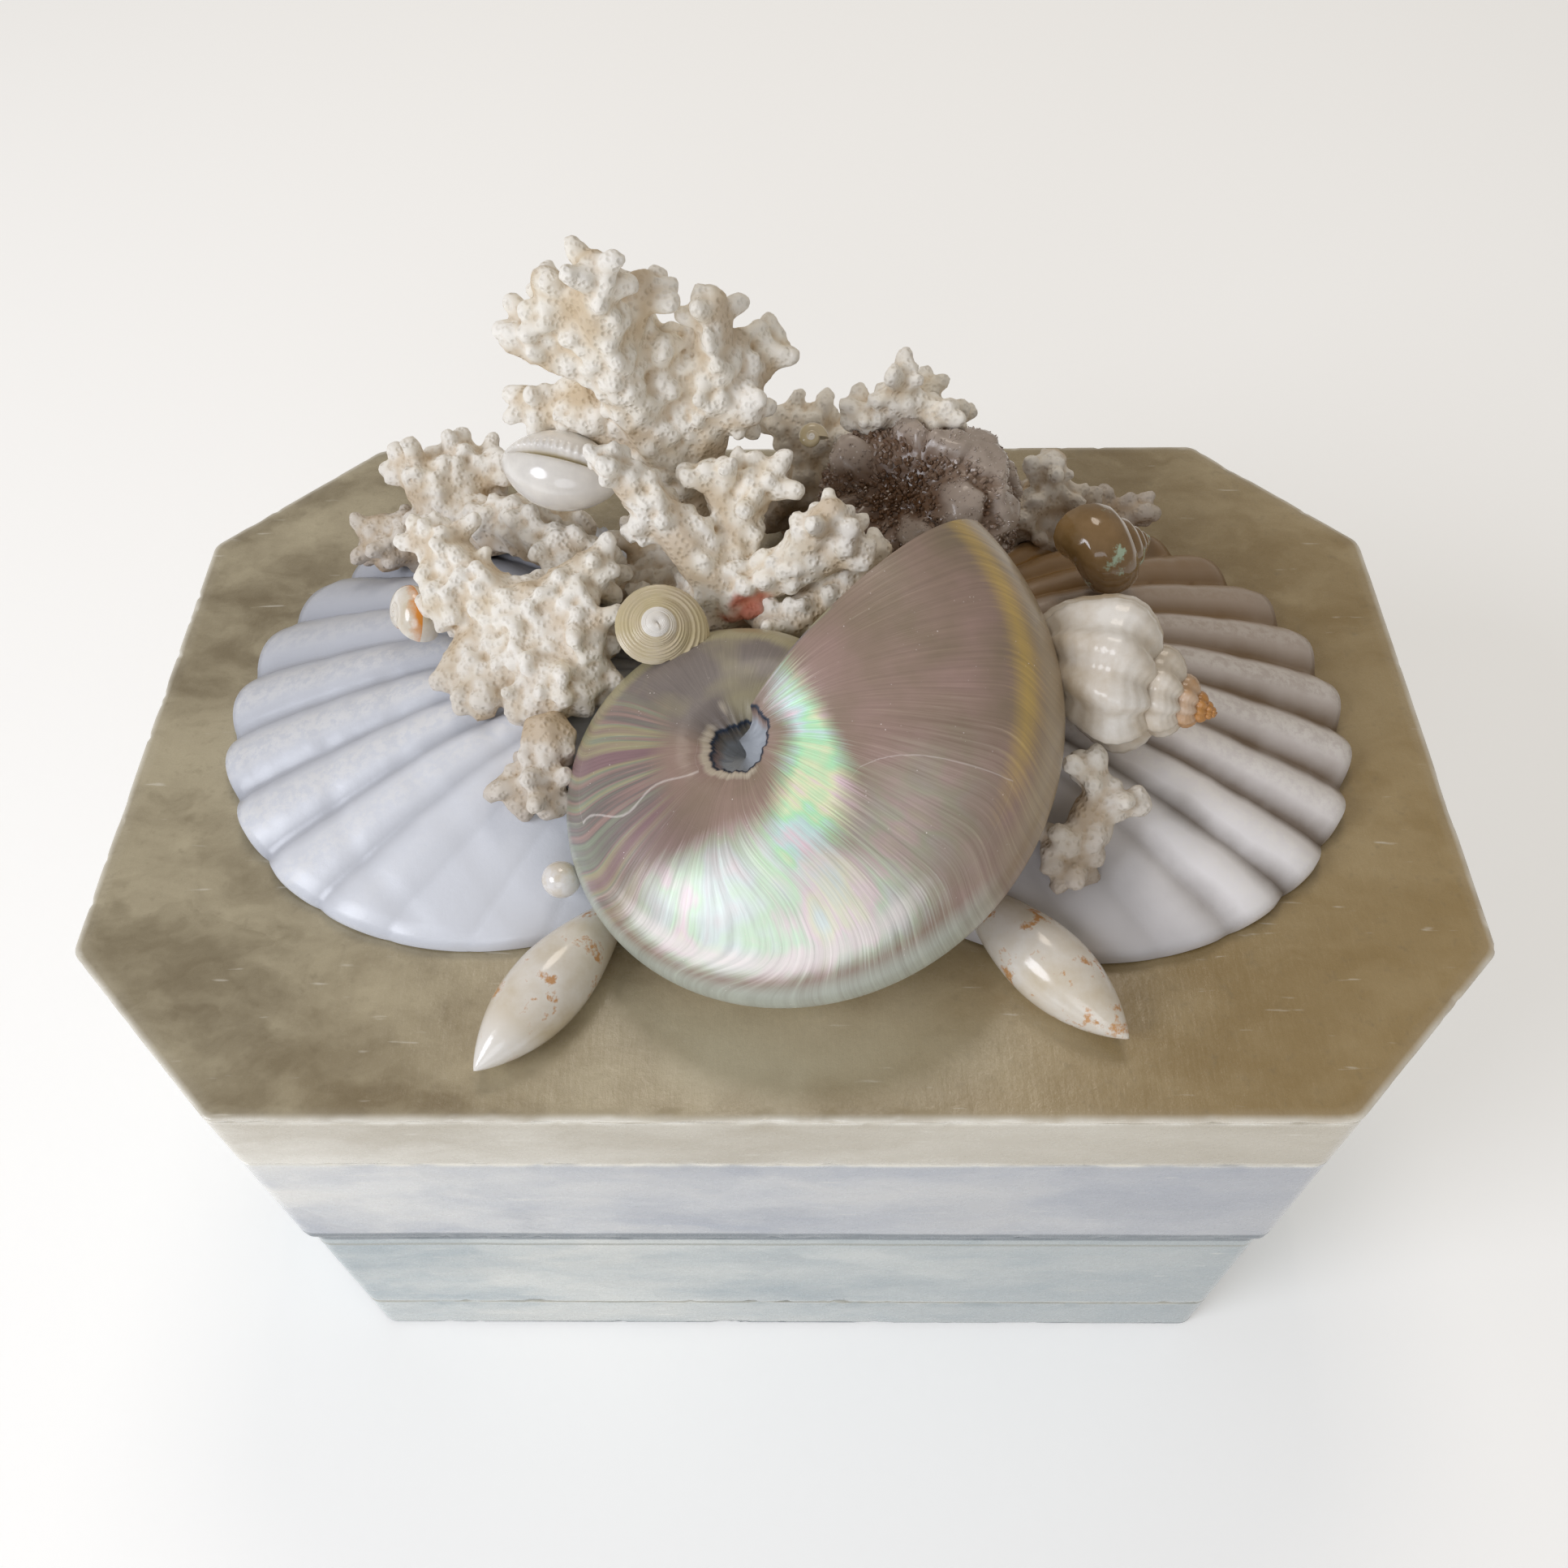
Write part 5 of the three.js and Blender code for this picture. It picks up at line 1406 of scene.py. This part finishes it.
class SHELLBOX_OT_veneer(bpy.types.Operator):
    """Lay the shell sheets on the lid and round the box"""
    bl_idname = "shellbox.veneer"
    bl_label = "Veneer"

    def execute(self, context):
        own = context.scene.shellbox_veneer
        lid_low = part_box("lid_lower_band")[0].z / MM
        base_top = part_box("base_upper_band")[1].z / MM
        foot_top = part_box("base_foot_band")[1].z / MM
        # The fifth colour of each sheet is painted shade towards the box's right side: gold on the top, the
        # darker shade colour on the bands.
        top = veneer_material("windowpane_oyster_tan", own.top, own.top_dark, own.top_light, own.top_gold_shade,
                              11.0, 0.5)
        upper = veneer_material("windowpane_oyster_cream", own.upper, own.upper_dark, own.edge,
                                own.upper_dark, 26.0, 0.04)
        # The joint lines are painted shadow of the gap between lid and base, laid on the lid's lower edge and
        # the base's upper edge.
        middle = veneer_material("windowpane_oyster_lilac", own.middle, own.middle_dark, own.edge,
                                 own.middle_dark, 30.0, 0.03, lines=((lid_low + 0.6, 3.4, own.joint, 0.95),))
        lower = veneer_material("windowpane_oyster_aqua", own.lower, own.lower_dark, own.edge,
                                own.lower_dark, 30.0, 0.03, lines=(
                                    (base_top - 0.8, 2.4, own.joint, 0.9),
                                    (base_top - 6.5, 0.9, own.soil, 0.8),
                                    (foot_top, 0.9, own.soil, 0.55), (0.0, 2.0, own.joint, 0.8)))
        top_sheet(top)
        for name, node, step, material, seed in (
                ("lid_upper_sheets", "lid_upper_band", 0.0, upper, 61),
                ("lid_lower_sheets", "lid_lower_band", 0.0, middle, 67),
                ("base_upper_sheets", "base_upper_band", BASE_STEP, lower, 71),
                ("base_foot_sheets", "base_foot_band", BASE_STEP, lower, 73)):
            side_band(name, node, step, material, seed)
        return {"FINISHED"}


class SHELLBOX_OT_nautilus(bpy.types.Operator):
    """Build the nautilus"""
    bl_idname = "shellbox.nautilus"
    bl_label = "Nautilus"

    def execute(self, context):
        shell = nautilus_shell()
        nautilus_marks(shell.data)
        settle(shell, nacre_material(), "nacre", "nautilus")
        return {"FINISHED"}


class SHELLBOX_OT_scallops(bpy.types.Operator):
    """Build the two scallop valves"""
    bl_idname = "shellbox.scallops"
    bl_label = "Scallop valves"

    def execute(self, context):
        own = context.scene.shellbox_scallop
        looks = {
            "scallop_left": scallop_material("scallop_white", own.white, own.shade, own.white, own.shade,
                                             0.3),
            "scallop_right": scallop_material("scallop_cream", own.cream, own.valley, own.silver, own.tan,
                                              0.45),
        }
        for name, plan in SCALLOPS.items():
            settle(scallop_valve(name, *plan), looks[name], "shell", name)
        return {"FINISHED"}


class SHELLBOX_OT_small_shells(bpy.types.Operator):
    """Build the olives, the whelk, the cowrie, the snail shells and the pearl"""
    bl_idname = "shellbox.small_shells"
    bl_label = "Small shells"

    def execute(self, context):
        own = context.scene.shellbox_small
        olives = {
            "olive_left": shell_material("olive_beige", own.beige, own.porcelain, 16.0, blotch=own.amber,
                                         rare=0.57, mark="mark", mark_tone=own.porcelain, low=0.22, high=0.1),
            "olive_right": shell_material("olive_white", own.porcelain, own.beige, 20.0, blotch=own.amber,
                                          rare=0.555),
        }
        for name, (place, along) in OLIVES.items():
            settle(olive_shell(name, place, along), olives[name], "shell", name)
        glazed = shell_material("cowrie_porcelain", own.porcelain, own.grey, 14.0, 0.14, mark="mark",
                                mark_tone=own.straw, low=0.45, high=0.9)
        settle(cowrie_shell(), glazed, "shell", "cowrie")
        straw = shell_material("top_shell_straw", own.straw, own.beige, 6.0, 0.3, mark="grown",
                               mark_tone=own.porcelain, low=0.42, high=0.3)
        coils = {
            "whelk": shell_material("whelk_lime", own.lime, own.porcelain, 20.0, 0.42, blotch=own.speck,
                                    blotch_size=2.2, rare=0.73, mark="grown", mark_tone=own.spire,
                                    low=0.4, high=0.16),
            "top_shell": straw,
            # The turban's gleam blotches are painted highlights.
            "turban_shell": shell_material("turban_nacre", own.smoke, own.umber, 12.0, 0.12,
                                           blotch=own.gleam, blotch_size=9.0, rare=0.58),
            "moon_shell": shell_material("moon_shell_porcelain", own.porcelain, own.beige, 9.0, 0.15,
                                         mark="psi", mark_tone=own.orange, low=0.9, high=1.0),
            "small_snail": straw,
        }
        for name, node, place, along, side, sizes in COILS:
            piece = coiled_shell(name, axes_at(place, along, side), **sizes)
            settle(piece, coils[node], "nacre" if node == "turban_shell" else "shell", node)
        pearly = shell_material("cultured_pearl", own.lustre, own.beige, 5.0, 0.12)
        settle(pearl_bead(), pearly, "pearl", "pearl")
        return {"FINISHED"}


class SHELLBOX_OT_geode(bpy.types.Operator):
    """Build the druzy geode"""
    bl_idname = "shellbox.geode"
    bl_label = "Geode"

    def execute(self, context):
        settle(geode_lump(), druzy_material(), "quartz", "geode")
        return {"FINISHED"}


class SHELLBOX_OT_corals(bpy.types.Operator):
    """Grow the corals"""
    bl_idname = "shellbox.corals"
    bl_label = "Corals"

    def execute(self, context):
        material = coral_material()
        for name, plan in CORALS.items():
            settle(coral_piece(name, plan), material, "coral", name)
        return {"FINISHED"}


CAMERA_PLACE = (0.004445, -0.20693, 0.41192)
FLOOR_HALF = 3.0
# Name, place, aim, width, power and colour of each lamp, in metres and watts
LAMPS = (
    ("window", (-1.2, -0.7, 1.0), (0, 0, 0.1), 0.8, 12.5, "#ecf0fa"),
    ("skylight", (0.0, 0.8, 1.6), (0.03, -0.05, 0.15), 0.6, 4.2, "#fff4e6"),
    ("room", (-0.2, -1.3, 0.7), (0, 0, 0.1), 0.8, 3, "#eef4ff"),
)


def camera_matrix(own):
    """Place and axes of a camera that looks down by the pitch, turned and rolled a little."""
    ahead = Vector((-math.sin(own.yaw) * math.cos(own.pitch), math.cos(own.yaw) * math.cos(own.pitch),
                    -math.sin(own.pitch)))
    level = Vector((math.cos(own.yaw), math.sin(own.yaw), 0))
    raised = level.cross(ahead)
    right = level * math.cos(own.roll) - raised * math.sin(own.roll)
    up = level * math.sin(own.roll) + raised * math.cos(own.roll)
    turned = Matrix((right, up, -ahead)).transposed().to_4x4()
    turned.translation = Vector(CAMERA_PLACE)
    return turned


def area_light(name, place, aim, size, power, tint):
    light = bpy.data.lights.new(name, "AREA")
    light.shape = "DISK"
    light.size = size
    light.energy = power
    light.color = linear(tint)[:3]
    lamp = bpy.data.objects.new(name, light)
    lamp.location = place
    lamp.rotation_euler = (Vector(aim) - Vector(place)).to_track_quat("-Z", "Y").to_euler()
    bpy.context.scene.collection.objects.link(lamp)


class SHELLBOX_OT_stage(bpy.types.Operator):
    """Set the floor, the lights and the camera"""
    bl_idname = "shellbox.stage"
    bl_label = "Stage"

    def execute(self, context):
        own = context.scene.shellbox_stage
        lens = bpy.data.cameras.new("camera")
        lens.sensor_width = 36
        lens.lens = own.focal
        lens.dof.use_dof = False
        camera = bpy.data.objects.new("camera", lens)
        camera.matrix_world = camera_matrix(own)
        context.scene.collection.objects.link(camera)
        context.scene.camera = camera
        corners = np.array([[-1, -1, 0], [1, -1, 0], [1, 1, 0], [-1, 1, 0]]) * FLOOR_HALF / MM
        floor = new_object("floor", corners, [[0, 1, 2, 3]])
        material, tree, shader, _ = surface("painted_floor", Roughness=0.9)
        wire(tree, shader, {"Base Color": own.floor, "Emission Color": own.floor, "Emission Strength": 0.3})
        floor.data.materials.append(material)
        world = bpy.data.worlds.new("studio")
        world.use_nodes = True
        context.scene.world = world
        wire(world.node_tree, world.node_tree.nodes["Background"], {"Color": own.sky, "Strength": 0.34})
        for lamp in LAMPS:
            area_light(*lamp)
        context.scene.view_settings.view_transform = "Standard"
        return {"FINISHED"}


class SHELLBOX_PT_panel(bpy.types.Panel):
    """Buttons of the shell box"""
    bl_idname = "SHELLBOX_PT_panel"
    bl_label = "Shell Box"
    bl_space_type = "VIEW_3D"
    bl_region_type = "UI"
    bl_category = "Shell Box"

    def draw(self, context):
        for operator in OPERATORS:
            self.layout.operator(operator.bl_idname)
        for name, group in SETTINGS.items():
            box = self.layout.box()
            box.label(text=group.__doc__)
            for prop in group.__annotations__:
                box.prop(getattr(context.scene, name), prop)


OPERATORS = (
    SHELLBOX_OT_stage,
    SHELLBOX_OT_board,
    SHELLBOX_OT_veneer,
    SHELLBOX_OT_nautilus,
    SHELLBOX_OT_scallops,
    SHELLBOX_OT_small_shells,
    SHELLBOX_OT_geode,
    SHELLBOX_OT_corals,
)
CLASSES = (*SETTINGS.values(), *OPERATORS, SHELLBOX_PT_panel)


def register():
    for item in CLASSES:
        bpy.utils.register_class(item)
    for name, group in SETTINGS.items():
        setattr(bpy.types.Scene, name, PointerProperty(type=group))


def unregister():
    for name in SETTINGS:
        delattr(bpy.types.Scene, name)
    for item in reversed(CLASSES):
        bpy.utils.unregister_class(item)


def main():
    register()
    for operator in OPERATORS:
        group, name = operator.bl_idname.split(".")
        getattr(getattr(bpy.ops, group), name)()


if __name__ == "__main__":
    main()
